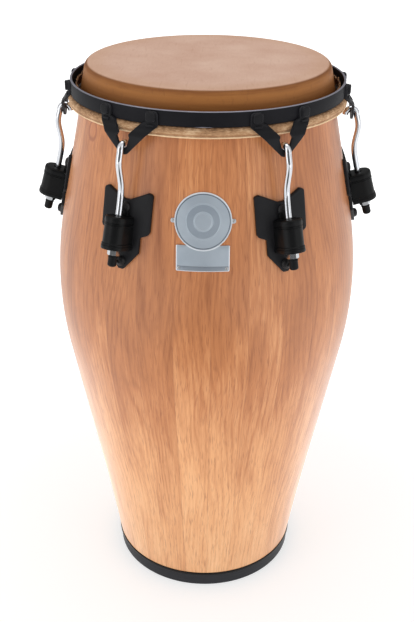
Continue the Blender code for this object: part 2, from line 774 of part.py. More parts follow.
def build():
    remove_all_objects()

    wood = finish("stave_wood", (0.47, 0.22, 0.10), 0.45, 0.0)
    rubber = finish("foot_rubber", (0.030, 0.031, 0.033), 0.75, 0.0)
    hide = finish("rawhide", (0.62, 0.42, 0.29), 0.60, 0.0)
    tuck_hide = finish("tucked_rawhide", (0.45, 0.33, 0.20), 0.70, 0.0)
    wire = finish("hoop_steel", (0.45, 0.45, 0.46), 0.40, 1.0)
    rim_black = finish("rim_black", (0.020, 0.020, 0.023), 0.40, 0.0)
    bracket_black = finish("bracket_black", (0.018, 0.018, 0.020), 0.45, 0.0)
    rod_chrome = finish("rod_chrome", (0.80, 0.81, 0.83), 0.08, 1.0)
    nut_chrome = finish("nut_chrome", (0.76, 0.77, 0.78), 0.16, 1.0)
    cap_black = finish("cap_black", (0.015, 0.015, 0.016), 0.65, 0.0)
    plate_black = finish("plate_black", (0.020, 0.021, 0.023), 0.50, 0.0)
    block_black = finish("block_black", (0.016, 0.016, 0.018), 0.45, 0.0)
    bolt_black = finish("bolt_black", (0.030, 0.029, 0.031), 0.40, 0.6)
    badge_metal = finish("badge_metal", (0.50, 0.53, 0.57), 0.35, 1.0)
    pin_metal = finish("pin_metal", (0.60, 0.61, 0.62), 0.30, 1.0)

    section, edge = shell_section()
    shell = place("shell", turned_mesh("shell", section), wood)
    place("foot_ring", turned_mesh("foot_ring", foot_ring_section()), rubber)
    place("head_skin", turned_mesh("head_skin", skin_section(edge)), hide)
    place("skin_tuck", turned_mesh("skin_tuck", tuck_section()), tuck_hide)
    place("flesh_hoop", turned_mesh("flesh_hoop", hoop_section()), wire)
    place("rim", turned_mesh("rim", rim_section()), rim_black)

    azimuths = [FIRST_STATION + 2 * math.pi * step / STATION_COUNT for step in range(STATION_COUNT)]
    bolts = {
        "upper_bolt": (UPPER_BOLT_DROP, UPPER_HEAD_HEIGHT),
        "lower_bolt": (LOWER_BOLT_DROP, LOWER_HEAD_HEIGHT),
    }

    drill_section = rod_section(BOLT_SHANK_RADIUS + BOLT_CLEARANCE, -2 * WALL, WALL)
    bolt_holes = cutter("bolt_holes", [
        (drill_section, surface_matrix(azimuth, below_top(drop)))
        for azimuth in azimuths for drop, _ in bolts.values()], SMALL_SIDES)
    bore_section = rod_section(ROD_RADIUS + ROD_CLEARANCE, -2 * BLOCK_LENGTH, BLOCK_LENGTH)
    rod_bores = cutter("rod_bores", [
        (bore_section, Matrix.LocRotScale(*rod_frame(azimuth), None)) for azimuth in azimuths], BORE_SIDES)
    pin_hole = rod_section(PIN_SHANK_RADIUS + BOLT_CLEARANCE, -PIN_LENGTH - SEAT_GAP, WALL)
    pin_holes = cutter("pin_holes", [
        (pin_hole, surface_matrix(azimuth, height)) for azimuth, height in pin_places()], SMALL_SIDES)
    drill(shell, bolt_holes)
    drill(shell, pin_holes)

    meshes = {
        "rim_bracket": bracket_mesh(),
        "tuning_hook": hook_mesh(),
        "tuning_nut": nut_mesh(),
        "thread_cap": cap_mesh(),
        "lug_block": block_mesh(),
        "side_plate": side_plate_mesh(),
    }
    on_rod = {
        "tuning_hook": rod_chrome,
        "tuning_nut": nut_chrome,
        "thread_cap": cap_black,
        "lug_block": block_black,
    }
    bolt_meshes = {kind: turned_mesh(kind, bolt_section(head), SMALL_SIDES)
                   for kind, (_, head) in bolts.items()}

    for number, azimuth in enumerate(azimuths, start=1):
        place(f"rim_bracket_{number}", meshes["rim_bracket"], bracket_black, rotation=(0, 0, azimuth))
        plate = place(f"side_plate_{number}", meshes["side_plate"], plate_black, rotation=(0, 0, azimuth))
        drill(plate, bolt_holes)
        location, rotation = rod_frame(azimuth)
        axis = place(f"rod_axis_{number}", None, location=location, rotation=rotation)
        for kind, material in on_rod.items():
            item = place(f"{kind}_{number}", meshes[kind], material, parent=axis)
            if kind == "lug_block":
                drill(item, rod_bores)
        for kind, (drop, _) in bolts.items():
            spot = surface_matrix(azimuth, below_top(drop))
            place(f"{kind}_{number}", bolt_meshes[kind], bolt_black, spot.to_translation(), spot.to_euler())

    badge = place("badge", badge_mesh(), badge_metal)
    drill(badge, pin_holes)
    pin_mesh = turned_mesh("badge_pin", pin_section(), SMALL_SIDES)
    for number, (azimuth, height) in enumerate(pin_places(), start=1):
        spot = surface_matrix(azimuth, height)
        place(f"badge_pin_{number}", pin_mesh, pin_metal, spot.to_translation(), spot.to_euler())


build()
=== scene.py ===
# %% [markdown]
# A conga and its finishes
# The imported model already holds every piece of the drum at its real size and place. This lesson
# models each visible piece again with its small rounds and details, gives it a finish, and
# lights it as in a studio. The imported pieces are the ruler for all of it.

# %% Load the frame
import math

import bmesh
import bpy
from mathutils import Matrix, Vector, noise


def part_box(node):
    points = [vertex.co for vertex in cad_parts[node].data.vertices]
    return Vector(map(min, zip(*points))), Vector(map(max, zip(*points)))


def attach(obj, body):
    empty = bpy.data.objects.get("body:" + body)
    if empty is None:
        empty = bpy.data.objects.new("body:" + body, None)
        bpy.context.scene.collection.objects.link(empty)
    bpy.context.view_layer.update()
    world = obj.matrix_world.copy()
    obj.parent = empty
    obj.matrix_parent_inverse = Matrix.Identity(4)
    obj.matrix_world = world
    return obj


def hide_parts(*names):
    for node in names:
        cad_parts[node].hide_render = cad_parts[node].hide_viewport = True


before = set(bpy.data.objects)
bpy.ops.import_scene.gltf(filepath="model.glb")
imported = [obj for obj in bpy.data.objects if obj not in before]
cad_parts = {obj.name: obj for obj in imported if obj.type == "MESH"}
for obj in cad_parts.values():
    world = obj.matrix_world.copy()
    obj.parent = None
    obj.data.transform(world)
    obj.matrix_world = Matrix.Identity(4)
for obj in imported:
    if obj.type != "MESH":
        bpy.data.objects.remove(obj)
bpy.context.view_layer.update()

# %% [markdown]
# Sizes of the barrel
# The staves run in three straight stretches, rounded into each other at the ankle and the belly.
# The same few sizes as in the construction give the radius at any height, so every piece that
# lies on the staves can ask for it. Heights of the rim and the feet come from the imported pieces.

# %% Sizes of the barrel
SEAT_GAP = 0.0003
WALL = 0.012
FOOT_RADIUS = 0.1313
ANKLE_HEIGHT = 0.130
ANKLE_RADIUS = 0.1520
ANKLE_BEND = 0.120
BELLY_HEIGHT = 0.4677
BELLY_CORNER = 0.2158
BELLY_BEND = 0.198
TOP_RADIUS = 0.1553
SKIN = 0.002

TOTAL_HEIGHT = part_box("head_skin")[1].z
SHELL_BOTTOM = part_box("shell")[0].z
SHELL_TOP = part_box("shell")[1].z
SPREAD = (ANKLE_RADIUS - FOOT_RADIUS) / ANKLE_HEIGHT
FLARE = (BELLY_CORNER - ANKLE_RADIUS) / (BELLY_HEIGHT - ANKLE_HEIGHT)
TAPER = (BELLY_CORNER - TOP_RADIUS) / (TOTAL_HEIGHT - BELLY_HEIGHT)
SHOULDER_ANGLE = math.atan(TAPER)
LEAN = 1 / math.cos(SHOULDER_ANGLE)    # a gap square to the staves, measured level


def bend(height, corner, length):
    """Nothing below a bend, slope 1 above it, rounded over its length."""
    into = min(max(height - corner + length / 2, 0), length)
    beyond = max(height - corner - length / 2, 0)
    return into ** 2 / (2 * length) + beyond


def shell_radius(height):
    """Outer radius of the staves."""
    ankle = (FLARE - SPREAD) * bend(height, ANKLE_HEIGHT, ANKLE_BEND)
    belly = (FLARE + TAPER) * bend(height, BELLY_HEIGHT, BELLY_BEND)
    return FOOT_RADIUS + SPREAD * height + ankle - belly


print("belly radius", round(max(shell_radius(step / 100) for step in range(77)), 4))

# %% [markdown]
# Stations
# Six tuning stations stand round the drum. Everything at a station is modelled once, facing the
# viewer, and then copied round, each copy with its own mesh. An azimuth is a turn from the front
# towards the right.

# %% Stations
STATION_COUNT = 6
AZIMUTHS = [math.radians(30 + 60 * step) for step in range(STATION_COUNT)]
NUMBERS = range(1, STATION_COUNT + 1)


def on_circle(radius, azimuth, height):
    return Vector((radius * math.sin(azimuth), -radius * math.cos(azimuth), height))


def surface_matrix(azimuth, height, lift=0.0):
    """A frame on the staves: Z stands out square from them, lift outside their surface."""
    step = 0.001
    slope = (shell_radius(height + step) - shell_radius(height - step)) / (2 * step)
    turn = (Matrix.Rotation(azimuth, 4, "Z")
            @ Matrix.Rotation(math.pi / 2 + math.atan(slope), 4, "X"))
    point = on_circle(shell_radius(height), azimuth, height)
    return Matrix.Translation(point) @ turn @ Matrix.Translation((0, 0, lift))


def copies_round(original, name, body, replaced):
    """Copy a piece made at the front to every station, and let each copy ride on its body."""
    for number, azimuth in zip(NUMBERS, AZIMUTHS):
        copy = original.copy()
        copy.data = original.data.copy()
        copy.data.transform(Matrix.Rotation(azimuth, 4, "Z"))
        copy.name = f"{name}_{number}"
        bpy.context.scene.collection.objects.link(copy)
        settle(copy, body.format(number), [f"{node}_{number}" for node in replaced])
    bpy.data.objects.remove(original)


def settle(item, body, replaced):
    """Tell the frame what a finished piece rides on and what it stands for."""
    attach(item, body)
    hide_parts(*replaced)
    triangles = sum(len(face.vertices) - 2 for face in item.data.polygons)
    print(item.name, "rides on", body, "with", triangles, "triangles")


# %% [markdown]
# Drawing and picking
# Most pieces start as a line drawn point by point, as one does by hand: one vertex is extruded
# to the next place, again and again. The corners of a drawing are written with the radius of
# their round, and a small helper turns each into an arc. Faces and edges are picked by a test.

# %% Drawing and picking
def select_only(item):
    bpy.ops.object.select_all(action="DESELECT")
    bpy.context.view_layer.objects.active = item
    item.select_set(True)


def edit(item):
    select_only(item)
    bpy.ops.object.mode_set(mode="EDIT")


def leave_edit():
    bpy.ops.object.mode_set(mode="OBJECT")


def pick(item, kind, test):
    """In edit mode, select only the vertices, edges or faces that pass a test."""
    bpy.ops.mesh.select_mode(type=kind)
    bpy.ops.mesh.select_all(action="DESELECT")
    mesh = bmesh.from_edit_mesh(item.data)
    for row in {"VERT": mesh.verts, "EDGE": mesh.edges, "FACE": mesh.faces}[kind]:
        if test(row):
            row.select_set(True)
    bmesh.update_edit_mesh(item.data)


def begin_with(primitive, **sizes):
    """Add a primitive with nothing else selected."""
    bpy.ops.object.select_all(action="DESELECT")
    primitive(**sizes)
    return bpy.context.object


def spread(low, high, count):
    """Even steps from low to high."""
    return [low + (high - low) * step / count for step in range(count + 1)]


def arc(centre, wide, tall, first, last, steps):
    """Points on a circle or an ellipse, between two angles in degrees."""
    angles = [math.radians(degrees) for degrees in spread(first, last, steps)]
    return [(centre[0] + wide * math.cos(angle), centre[1] + tall * math.sin(angle))
            for angle in angles]


def mirrored(half):
    """The corners of an outline's other half."""
    return [(-x, y, radius) for x, y, radius in reversed(half)]


def rounded(corners, steps=4):
    """A closed outline from (x, y, radius) corners, each with a radius turned into an arc."""
    line = []
    for index, (x, y, radius) in enumerate(corners):
        here = Vector((x, y))
        if radius == 0:
            line.append(here)
            continue
        back = (Vector(corners[index - 1][:2]) - here).normalized()
        ahead = (Vector(corners[(index + 1) % len(corners)][:2]) - here).normalized()
        half = back.angle(ahead) / 2
        centre = here + (back + ahead).normalized() * radius / math.sin(half)
        start = here + back * radius / math.tan(half) - centre
        end = here + ahead * radius / math.tan(half) - centre
        sweep = math.pi - 2 * half
        for step in range(steps + 1):
            share = step / steps
            line.append(centre + (start * math.sin((1 - share) * sweep)
                                  + end * math.sin(share * sweep)) / math.sin(sweep))
    return line


def draw(name, points, closed=True):
    """Draw a chain of points: one vertex, extruded from place to place, and joined at the end."""
    item = begin_with(bpy.ops.mesh.primitive_plane_add, size=0.001)
    item.name = name
    bpy.ops.object.mode_set(mode="EDIT")
    bpy.ops.mesh.select_mode(type="VERT")
    bpy.ops.mesh.select_all(action="SELECT")
    bpy.ops.mesh.merge(type="CENTER")
    bpy.ops.transform.translate(value=points[0])
    for before, after in zip(points, points[1:]):
        step = Vector(after) - Vector(before)
        bpy.ops.mesh.extrude_vertices_move(TRANSFORM_OT_translate={"value": step})
    if closed:
        pick(item, "VERT", lambda vert: len(vert.link_edges) == 1)
        bpy.ops.mesh.edge_face_add()
    leave_edit()
    return item


def smooth(item, degrees=35):
    """Smooth shading, but sharp where faces meet at more than an angle."""
    select_only(item)
    bpy.ops.object.shade_smooth_by_angle(angle=math.radians(degrees))


def turn(name, section, sides=192):
    """Draw a closed section of (radius, height) points and spin it round the drum's axis."""
    item = draw(name, [(point[0], 0, point[1]) for point in section])
    edit(item)
    bpy.ops.mesh.select_all(action="SELECT")
    bpy.ops.mesh.spin(steps=sides, angle=2 * math.pi, center=(0, 0, 0), axis=(0, 0, 1))
    tidy_mesh()
    smooth(item)
    return item


def tidy_mesh():
    """In edit mode: merge doubled points, drop the bare edge that a spin leaves along its axis,
    turn every face outwards, and go back."""
    bpy.ops.mesh.select_all(action="SELECT")
    bpy.ops.mesh.remove_doubles(threshold=1e-6)
    bpy.ops.mesh.delete_loose()
    bpy.ops.mesh.select_all(action="SELECT")
    bpy.ops.mesh.normals_make_consistent(inside=False)
    leave_edit()


def join(items, name):
    select_only(items[0])
    for item in items[1:]:
        item.select_set(True)
    bpy.ops.object.join()
    items[0].name = name
    return items[0]


def paint_with(item, *materials):
    item.data.materials.clear()
    for material in materials:
        item.data.materials.append(material)


def apply_modifiers(item):
    select_only(item)
    for modifier in list(item.modifiers):
        bpy.ops.object.modifier_apply(modifier=modifier.name)


def cut_with(item, tool, operation):
    """Combine a piece with a tool and throw the tool away."""
    modifier = item.modifiers.new("cut", "BOOLEAN")
    modifier.operation = operation
    modifier.solver = "EXACT"
    modifier.object = tool
    apply_modifiers(item)
    bpy.data.objects.remove(tool)
    edit(item)
    tidy_mesh()


# %% [markdown]
# Shader arithmetic
# A finish is easiest to read as a formula. One small class wraps a socket so that wires can be
# added and multiplied, and one method adds any other node. Only what changes over the surface
# is wired; a value that is the same all over is set on the shader itself.

# %% Shader arithmetic
class Wire:
    """An output socket that can be used in Python arithmetic."""

    def __init__(self, nodes, socket):
        self.nodes = nodes
        self.socket = socket

    def __add__(self, other):
        return self.nodes.maths("ADD", self, other)

    def __sub__(self, other):
        return self.nodes.maths("SUBTRACT", self, other)

    def __rsub__(self, other):
        return self.nodes.maths("SUBTRACT", other, self)

    def __mul__(self, other):
        return self.nodes.maths("MULTIPLY", self, other)

    def __truediv__(self, other):
        return self.nodes.maths("DIVIDE", self, other)

    def __pow__(self, other):
        return self.nodes.maths("POWER", self, other)

    def __rtruediv__(self, other):
        return self.nodes.maths("DIVIDE", other, self)

    def __rpow__(self, other):
        return self.nodes.maths("POWER", other, self)

    __radd__ = __add__
    __rmul__ = __mul__


class Nodes:
    """A node tree that is filled by calls."""

    def __init__(self, tree):
        self.tree = tree

    def node(self, kind, settings, inputs, output=0):
        """Add a node, set it up, feed its sockets with values or wires, and give one output."""
        made = self.tree.nodes.new(kind)
        for setting, value in settings.items():
            if setting == "stops":
                for middle in value[1:-1]:
                    made.color_ramp.elements.new(middle[0])
                for element, (position, colour) in zip(made.color_ramp.elements, value):
                    element.position = position
                    element.color = colour
            else:
                setattr(made, setting, value)
        for socket, value in inputs.items():
            if isinstance(value, Wire):
                self.tree.links.new(value.socket, made.inputs[socket])
            else:
                made.inputs[socket].default_value = value
        return Wire(self, made.outputs[output])

    def maths(self, operation, first, second=0.0):
        return self.node("ShaderNodeMath", {"operation": operation}, {0: first, 1: second})

    def split(self, vector):
        """The three parts of a vector."""
        parts = self.node("ShaderNodeSeparateXYZ", {}, {0: vector})
        return [Wire(self, socket) for socket in parts.socket.node.outputs]

    def combine(self, x, y, z):
        return self.node("ShaderNodeCombineXYZ", {}, {0: x, 1: y, 2: z})

    def stretch(self, vector, x, y, z):
        """A place with its three parts multiplied, so that a pattern is x, y and z times finer."""
        return self.node("ShaderNodeVectorMath", {"operation": "MULTIPLY"},
                         {0: vector, 1: (x, y, z)})

    def clouds(self, vector, detail=2.0, roughness=0.5):
        """Soft noise between 0 and 1, one lump to each unit of the vector."""
        return self.node("ShaderNodeTexNoise", {}, {
            "Vector": vector, "Scale": 1.0, "Detail": detail, "Roughness": roughness})

    def chance(self, number):
        """A value between 0 and 1 that is settled by a number."""
        return self.node("ShaderNodeTexWhiteNoise", {"noise_dimensions": "1D"}, {"W": number})

    def ramp(self, value, stops):
        """A colour from a value, through colours at given places."""
        return self.node("ShaderNodeValToRGB", {"stops": stops}, {0: value})

    def between(self, value, low, high):
        """0 below low, 1 above high, and a soft step from one to the other."""
        return self.node("ShaderNodeMapRange", {"interpolation_type": "SMOOTHSTEP"}, {
            "Value": value, "From Min": low, "From Max": high})

    def mix(self, share, first, second):
        """A colour between two, by a share."""
        return self.node("ShaderNodeMix", {"data_type": "RGBA"},
                         {0: share, 6: first, 7: second}, output=2)

    def ray(self, kind):
        """1 for a ray of this kind, 0 for any other."""
        return self.node("ShaderNodeLightPath", {}, {}, output=kind)


class Finish(Nodes):
    """A material: nodes that read the piece's own place in the drum and feed one shader."""

    def __init__(self, name, constants):
        self.material = bpy.data.materials.new(name)
        self.material.use_nodes = True
        super().__init__(self.material.node_tree)
        self.shader = self.tree.nodes["Principled BSDF"]
        for socket, value in constants.items():
            self.shader.inputs[socket].default_value = value
        self.place = self.node("ShaderNodeTexCoord", {}, {}, output=3)

    def feed(self, socket, wire):
        self.tree.links.new(wire.socket, self.shader.inputs[socket])

    def relief(self, height, depth):
        """Small bumps: height between 0 and 1 becomes this many metres of relief."""
        self.feed("Normal", self.node("ShaderNodeBump", {}, {
            "Strength": 1.0, "Distance": depth, "Height": height}))

    def specks(self, fineness, detail=2.0, roughness=0.5):
        """Soft noise over the piece, this many lumps to a metre: all ways, or along x, y and z."""
        if not isinstance(fineness, tuple):
            fineness = (fineness, fineness, fineness)
        return self.clouds(self.stretch(self.place, *fineness), detail, roughness)

    def edges(self):
        """1 on outward edges and corners, 0 on flats, for edge wear and painted edge highlights."""
        pointed = self.node("ShaderNodeNewGeometry", {}, {}, output=7)
        return self.between(pointed, 0.52, 0.60)


def shade(red, green, blue):
    """A colour as seen on a screen, 0 to 255, as the linear values that shaders use."""
    def linear(level):
        level = level / 255
        return level / 12.92 if level <= 0.04045 else ((level + 0.055) / 1.055) ** 2.4
    return (linear(red), linear(green), linear(blue), 1.0)


print("shader helpers ready")

# %% [markdown]
# Stave wood
# The barrel is glued from tapered staves of a pale tropical hardwood and lacquered. Each stave is
# a board of its own, so each gets its own slice of the pattern and its own tone. Growth rings cut
# lengthwise give tall flames: lines across a stave, pushed about by slow noise along it. Fine
# fibres and short dark pores lie over them, and one stave has a small oval knot.

# %% Stave wood
STAVE_COUNT = 27
STAVE_TURN = 2 * math.pi / STAVE_COUNT
STAVE_WIDTH = STAVE_TURN * shell_radius(BELLY_HEIGHT)
FIRST_SEAM = math.radians(3)
KNOT_AZIMUTH = math.radians(-55.5)
KNOT_HEIGHT = 0.6975
KNOT_HALF_WIDTH = 0.0095
KNOT_HALF_HEIGHT = 0.0125


def stave_pattern(wood):
    """A point's azimuth, its share across its stave, the stave's number, and its height."""
    x, y, z = wood.split(wood.place)
    azimuth = wood.maths("ARCTAN2", x, -1 * y)
    turns = (azimuth - FIRST_SEAM) * (1 / STAVE_TURN) + STAVE_COUNT
    number = wood.maths("FLOOR", turns)
    return azimuth, turns - number - 0.5, number, z


def knot_distance(wood, azimuth, z):
    """1 on the knot's outline, less inside it, more outside."""
    across = (azimuth - KNOT_AZIMUTH) * (shell_radius(KNOT_HEIGHT) / KNOT_HALF_WIDTH)
    along = (z - KNOT_HEIGHT) * (1 / KNOT_HALF_HEIGHT)
    narrowing = 1 - along * 0.22
    return wood.maths("SQRT", across * across / (narrowing * narrowing) + along * along)


def grain(wood):
    """The bare wood's colour, its relief and its fine fibres."""
    azimuth, share, number, z = stave_pattern(wood)
    luck = wood.chance(number)
    sway = wood.clouds(wood.combine(luck * 7.0, 0.0, z * 8.0), 3.0)
    board = wood.combine(share * STAVE_WIDTH + sway * 0.014, luck * 9.0, z)
    knot = knot_distance(wood, azimuth, z)
    near_knot = 1 - wood.between(knot, 1.0, 3.2)

    broad = wood.clouds(wood.stretch(board, 15.0, 1.0, 3.2), 2.0)
    figure = wood.clouds(wood.stretch(board, 38.0, 1.0, 12.0), 3.0)
    rings = wood.maths("SINE", share * 34.0 + broad * 62.0 + near_knot * knot * 6.0) * 0.5 + 0.5
    streaks = wood.clouds(wood.stretch(board, 300.0, 1.0, 6.0), 3.0, 0.6)
    fibres = wood.clouds(wood.stretch(board, 1100.0, 1.0, 36.0), 3.0, 0.65)
    pores = wood.between(wood.clouds(wood.stretch(board, 900.0, 3.0, 55.0), 1.0), 0.57, 0.70)

    tone = (luck - 0.5) * 0.17 + (broad - 0.5) * 0.42 + (figure - 0.5) * 0.30
    tone = tone + (streaks - 0.5) * 0.21 + (fibres - 0.5) * 0.32
    tone = tone + rings ** 3 * figure * 0.17 - 0.02
    # Darker higher up: in part the wood's own tone, in part painted shade for the light that the
    # lower barrel gets from the floor.
    tone_and_shade_by_height = wood.between(z, 0.04, 0.52) * 0.33
    colour = wood.ramp(tone + tone_and_shade_by_height + 0.345, [
        (0.0, shade(245, 199, 150)),
        (0.36, shade(217, 157, 106)),
        (0.62, shade(179, 114, 67)),
        (1.0, shade(124, 66, 32)),
    ])
    colour = wood.mix(pores * 0.40, colour, shade(122, 62, 28))

    outline = wood.between(knot, 0.62, 0.92) * (1 - wood.between(knot, 1.0, 1.28))
    heart = 1 - wood.between(knot, 0.30, 0.95)
    colour = wood.mix(outline * 0.70, colour, shade(136, 72, 42))
    colour = wood.mix(heart * 0.22, colour, shade(170, 106, 74))

    seam = wood.between(wood.maths("ABSOLUTE", share), 0.4905, 0.4985)
    colour = wood.mix(seam * 0.38, colour, shade(128, 76, 46))
    relief = fibres * 0.5 + streaks * 0.3 - pores * 0.5 - seam * 0.6
    return colour, relief, fibres


def lacquered_wood():
    wood = Finish("stave_wood", {"Coat Weight": 0.60, "Coat Roughness": 0.30, "Coat IOR": 1.45,
                                 "Specular IOR Level": 0.25})
    colour, relief, fibres = grain(wood)
    wood.feed("Base Color", colour)
    wood.feed("Roughness", fibres * 0.16 + 0.38)
    wood.relief(relief, 0.00012)
    return wood.material


def raw_wood():
    """Inside the barrel the same staves are sanded but bare."""
    wood = Finish("stave_wood_inside", {"Specular IOR Level": 0.25})
    colour, relief, fibres = grain(wood)
    wood.feed("Base Color", wood.mix(0.35, colour, shade(214, 176, 138)))
    wood.feed("Roughness", fibres * 0.15 + 0.72)
    wood.relief(relief, 0.00030)
    return wood.material


STAVE_WOOD = lacquered_wood()
RAW_WOOD = raw_wood()
print("stave width at the belly", round(STAVE_WIDTH * 1000, 1), "mm")

# %% [markdown]
# The barrel
# A barrel shell is turned true on a lathe after its staves are glued, so a spun section is just
# how it is made. The outside follows the three stretches closely, the top is rounded into the
# bearing edge that the skin bends over, and the bottom steps in to stand in the rubber foot.

# %% The barrel
EDGE_ROUND = 0.006
EDGE_LAND = 0.0035
EDGE_BEVEL = 0.006
STRAIGHT_END = 0.745      # the last level below the edge's round
FACET_ROOM = 0.00002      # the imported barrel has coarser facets, and this one stays inside them
FOOT_PROUD = 0.0023
FOOT_LIP = 0.0025
FOOT_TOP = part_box("foot_ring")[1].z
LEDGE = FOOT_TOP + SEAT_GAP
RABBET = shell_radius(0) + FOOT_PROUD - FOOT_LIP - SEAT_GAP


def edge_arc(set_out, steps):
    """The rounded bearing edge, this far outside it, from the staves' side to the top."""
    corner = math.pi / 2 - SHOULDER_ANGLE
    middle = shell_radius(SHELL_TOP) - EDGE_ROUND * math.tan(corner / 2)
    radius = EDGE_ROUND + set_out
    return arc((middle, SHELL_TOP - EDGE_ROUND), radius, radius, math.degrees(SHOULDER_ANGLE), 90,
               steps)


def barrel():
    edge = edge_arc(0, 8)
    outside = [(shell_radius(height) - FACET_ROOM, height)
               for height in spread(LEDGE, STRAIGHT_END, 64)]
    land = [(edge[-1][0] - EDGE_LAND, SHELL_TOP)]
    inside = [(shell_radius(height) - WALL, height)
              for height in spread(SHELL_TOP - EDGE_BEVEL, LEDGE * 2, 36)]
    foot = [(RABBET - WALL, LEDGE), (RABBET - WALL, SHELL_BOTTOM), (RABBET, SHELL_BOTTOM),
            (RABBET, LEDGE)]
    return turn("stave_barrel", outside + edge + land + inside + foot)


def bare_inside(item):
    """Give the faces that look inwards or stand in the foot ring the second material."""
    for face in item.data.polygons:
        outwards = Vector((face.center.x, face.center.y, 0))
        if face.normal.dot(outwards) < 0 or face.center.z < LEDGE:
            face.material_index = 1


stave_barrel = barrel()
paint_with(stave_barrel, STAVE_WOOD, RAW_WOOD)
bare_inside(stave_barrel)
settle(stave_barrel, "drum", ["shell"])

# %% [markdown]
# Foot ring
# A rubber ring keeps the end grain off the floor. It is moulded with a glossy round lip at its
# top and a duller band below; the lip's darker colour is painted shade. One material paints both,
# told apart by height.

# %% Foot ring
FOOT_OUTER = shell_radius(0) + FOOT_PROUD
FOOT_LIP_OUTER = shell_radius(FOOT_TOP) + 0.0010
FOOT_LIP_LOW = FOOT_TOP - 0.0042


def foot_rubber():
    rubber = Finish("foot_rubber", {"Specular IOR Level": 0.22})
    height = rubber.split(rubber.place)[2]
    lip_gloss_and_shade = rubber.between(height, FOOT_LIP_LOW - 0.0012, FOOT_LIP_LOW)
    dust = rubber.specks((60.0, 60.0, 300.0), 4.0, 0.6)
    scuffs = rubber.between(rubber.specks((24.0, 24.0, 900.0), 3.0), 0.5, 0.8)
    band = rubber.mix(dust, shade(24, 25, 28), shade(42, 43, 48))
    band = rubber.mix(scuffs * 0.30, band, shade(72, 74, 82))
    # The lip is glossier, and its darker colour is painted shade.
    rubber.feed("Base Color", rubber.mix(lip_gloss_and_shade, band, shade(12, 11, 11)))
    rubber.feed("Roughness", lip_gloss_and_shade * -0.20 + dust * 0.15 + 0.52)
    rubber.relief(dust * 0.4 + scuffs * 0.6, 0.00008)
    return rubber.material


def foot_ring():
    inner = RABBET + SEAT_GAP
    section = rounded([
        (inner - WALL, 0, 0.0004),
        (FOOT_OUTER, 0, 0.0022),
        (FOOT_LIP_OUTER - 0.0012, FOOT_LIP_LOW - 0.0010, 0.0005),
        (FOOT_LIP_OUTER, FOOT_LIP_LOW, 0.0009),
        (FOOT_LIP_OUTER, FOOT_TOP, 0.0009),
        (inner, FOOT_TOP, 0),
        (inner, SHELL_BOTTOM - SEAT_GAP, 0),
        (inner - WALL, SHELL_BOTTOM - SEAT_GAP, 0.0004),
    ])
    ring = turn("foot_band", section)
    paint_with(ring, foot_rubber())
    return ring


settle(foot_ring(), "drum", ["foot_ring"])

# %% [markdown]
# Playing head
# A soaked rawhide is drawn over the bearing edge and dries hard: flat and pale on top, browner
# where it is stretched down the side, and darker there by painted shade for its lesser light from
# above. Its section is a line offset by the skin's thickness, spun like the barrel. The finish
# changes with height, under mottling and faint fibres.

# %% Playing head
COLLAR_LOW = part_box("head_skin")[0].z
WORN_FROM, WORN_TO = 0.120, 0.150      # the playing face is browner near its edge
SIDE_DEPTH = 0.05                      # the browns of the side are spread over this height


def rawhide():
    hide = Finish("rawhide", {"Specular IOR Level": 0.20})
    x, y, z = hide.split(hide.place)
    mottle = hide.specks(16.0, 4.0, 0.55)
    blotch = hide.specks(45.0, 3.0)
    fibres = hide.specks((420.0, 90.0, 420.0), 4.0, 0.7)
    veins = hide.between(hide.specks((260.0, 30.0, 120.0)), 0.60, 0.72)

    top = hide.ramp(mottle * 0.7 + fibres * 0.3, [
        (0.25, shade(201, 159, 137)),
        (0.52, shade(214, 177, 156)),
        (0.80, shade(227, 195, 175)),
    ])
    top = hide.mix(veins * 0.16, top, shade(176, 130, 104))
    radius = hide.maths("SQRT", x * x + y * y)
    worn = hide.between(radius, WORN_FROM, WORN_TO)
    top = hide.mix(worn * 0.28, top, shade(196, 150, 112))

    # The side's browns, with a darker line at the fold and darker towards the rim, are in part the
    # hide's own ageing and in part painted shade for the side's lesser light from above.
    depth = (TOTAL_HEIGHT - z) + blotch * 0.0040 - 0.0020
    side = hide.ramp(depth * (1 / SIDE_DEPTH), [
        (0.00, shade(126, 80, 46)),
        (0.05, shade(118, 70, 34)),
        (0.18, shade(150, 96, 46)),
        (0.34, shade(140, 86, 38)),
        (0.60, shade(128, 76, 32)),
        (1.00, shade(108, 62, 26)),
    ])
    bands = hide.specks((14.0, 14.0, 330.0), 3.0, 0.6)
    side = hide.mix(hide.between(bands, 0.35, 0.75) * 0.45, side, shade(158, 104, 52))
    side = hide.mix(veins * 0.20, side, shade(110, 66, 34))
    over = hide.between(TOTAL_HEIGHT - z, 0.0002, 0.0018)
    hide.feed("Base Color", hide.mix(over, top, side))
    hide.feed("Roughness", 0.58 - over * 0.08 + fibres * 0.12)
    hide.relief(fibres * 0.6 + veins * 0.4, 0.00010)
    return hide.material


def playing_head():
    def side_line(gap):
        """The collar and the bend over the edge, this far off the staves."""
        return [(shell_radius(COLLAR_LOW) + gap * LEAN, COLLAR_LOW)] + edge_arc(gap, 10)

    outside = side_line(SEAT_GAP + SKIN)
    inside = side_line(SEAT_GAP)
    flats = [(radius, TOTAL_HEIGHT) for radius in (0.138, 0.110, 0.080, 0.050, 0.020)]
    under = [(radius, TOTAL_HEIGHT - SKIN) for radius in (0, 0.020, 0.080, 0.138)]
    head = turn("playing_head", outside + flats + [(0, TOTAL_HEIGHT)] + under + inside[::-1])
    paint_with(head, rawhide())
    return head


settle(playing_head(), "drum", ["head_skin"])

# %% [markdown]
# Wrapped roll
# The hide's edge is wrapped round a wire hoop and its trimmed end stands up ragged inside the
# rim. Wet hide never lies even, so after the spin the points are moved a little by noise: the
# roll swells and shrinks and the end frays.

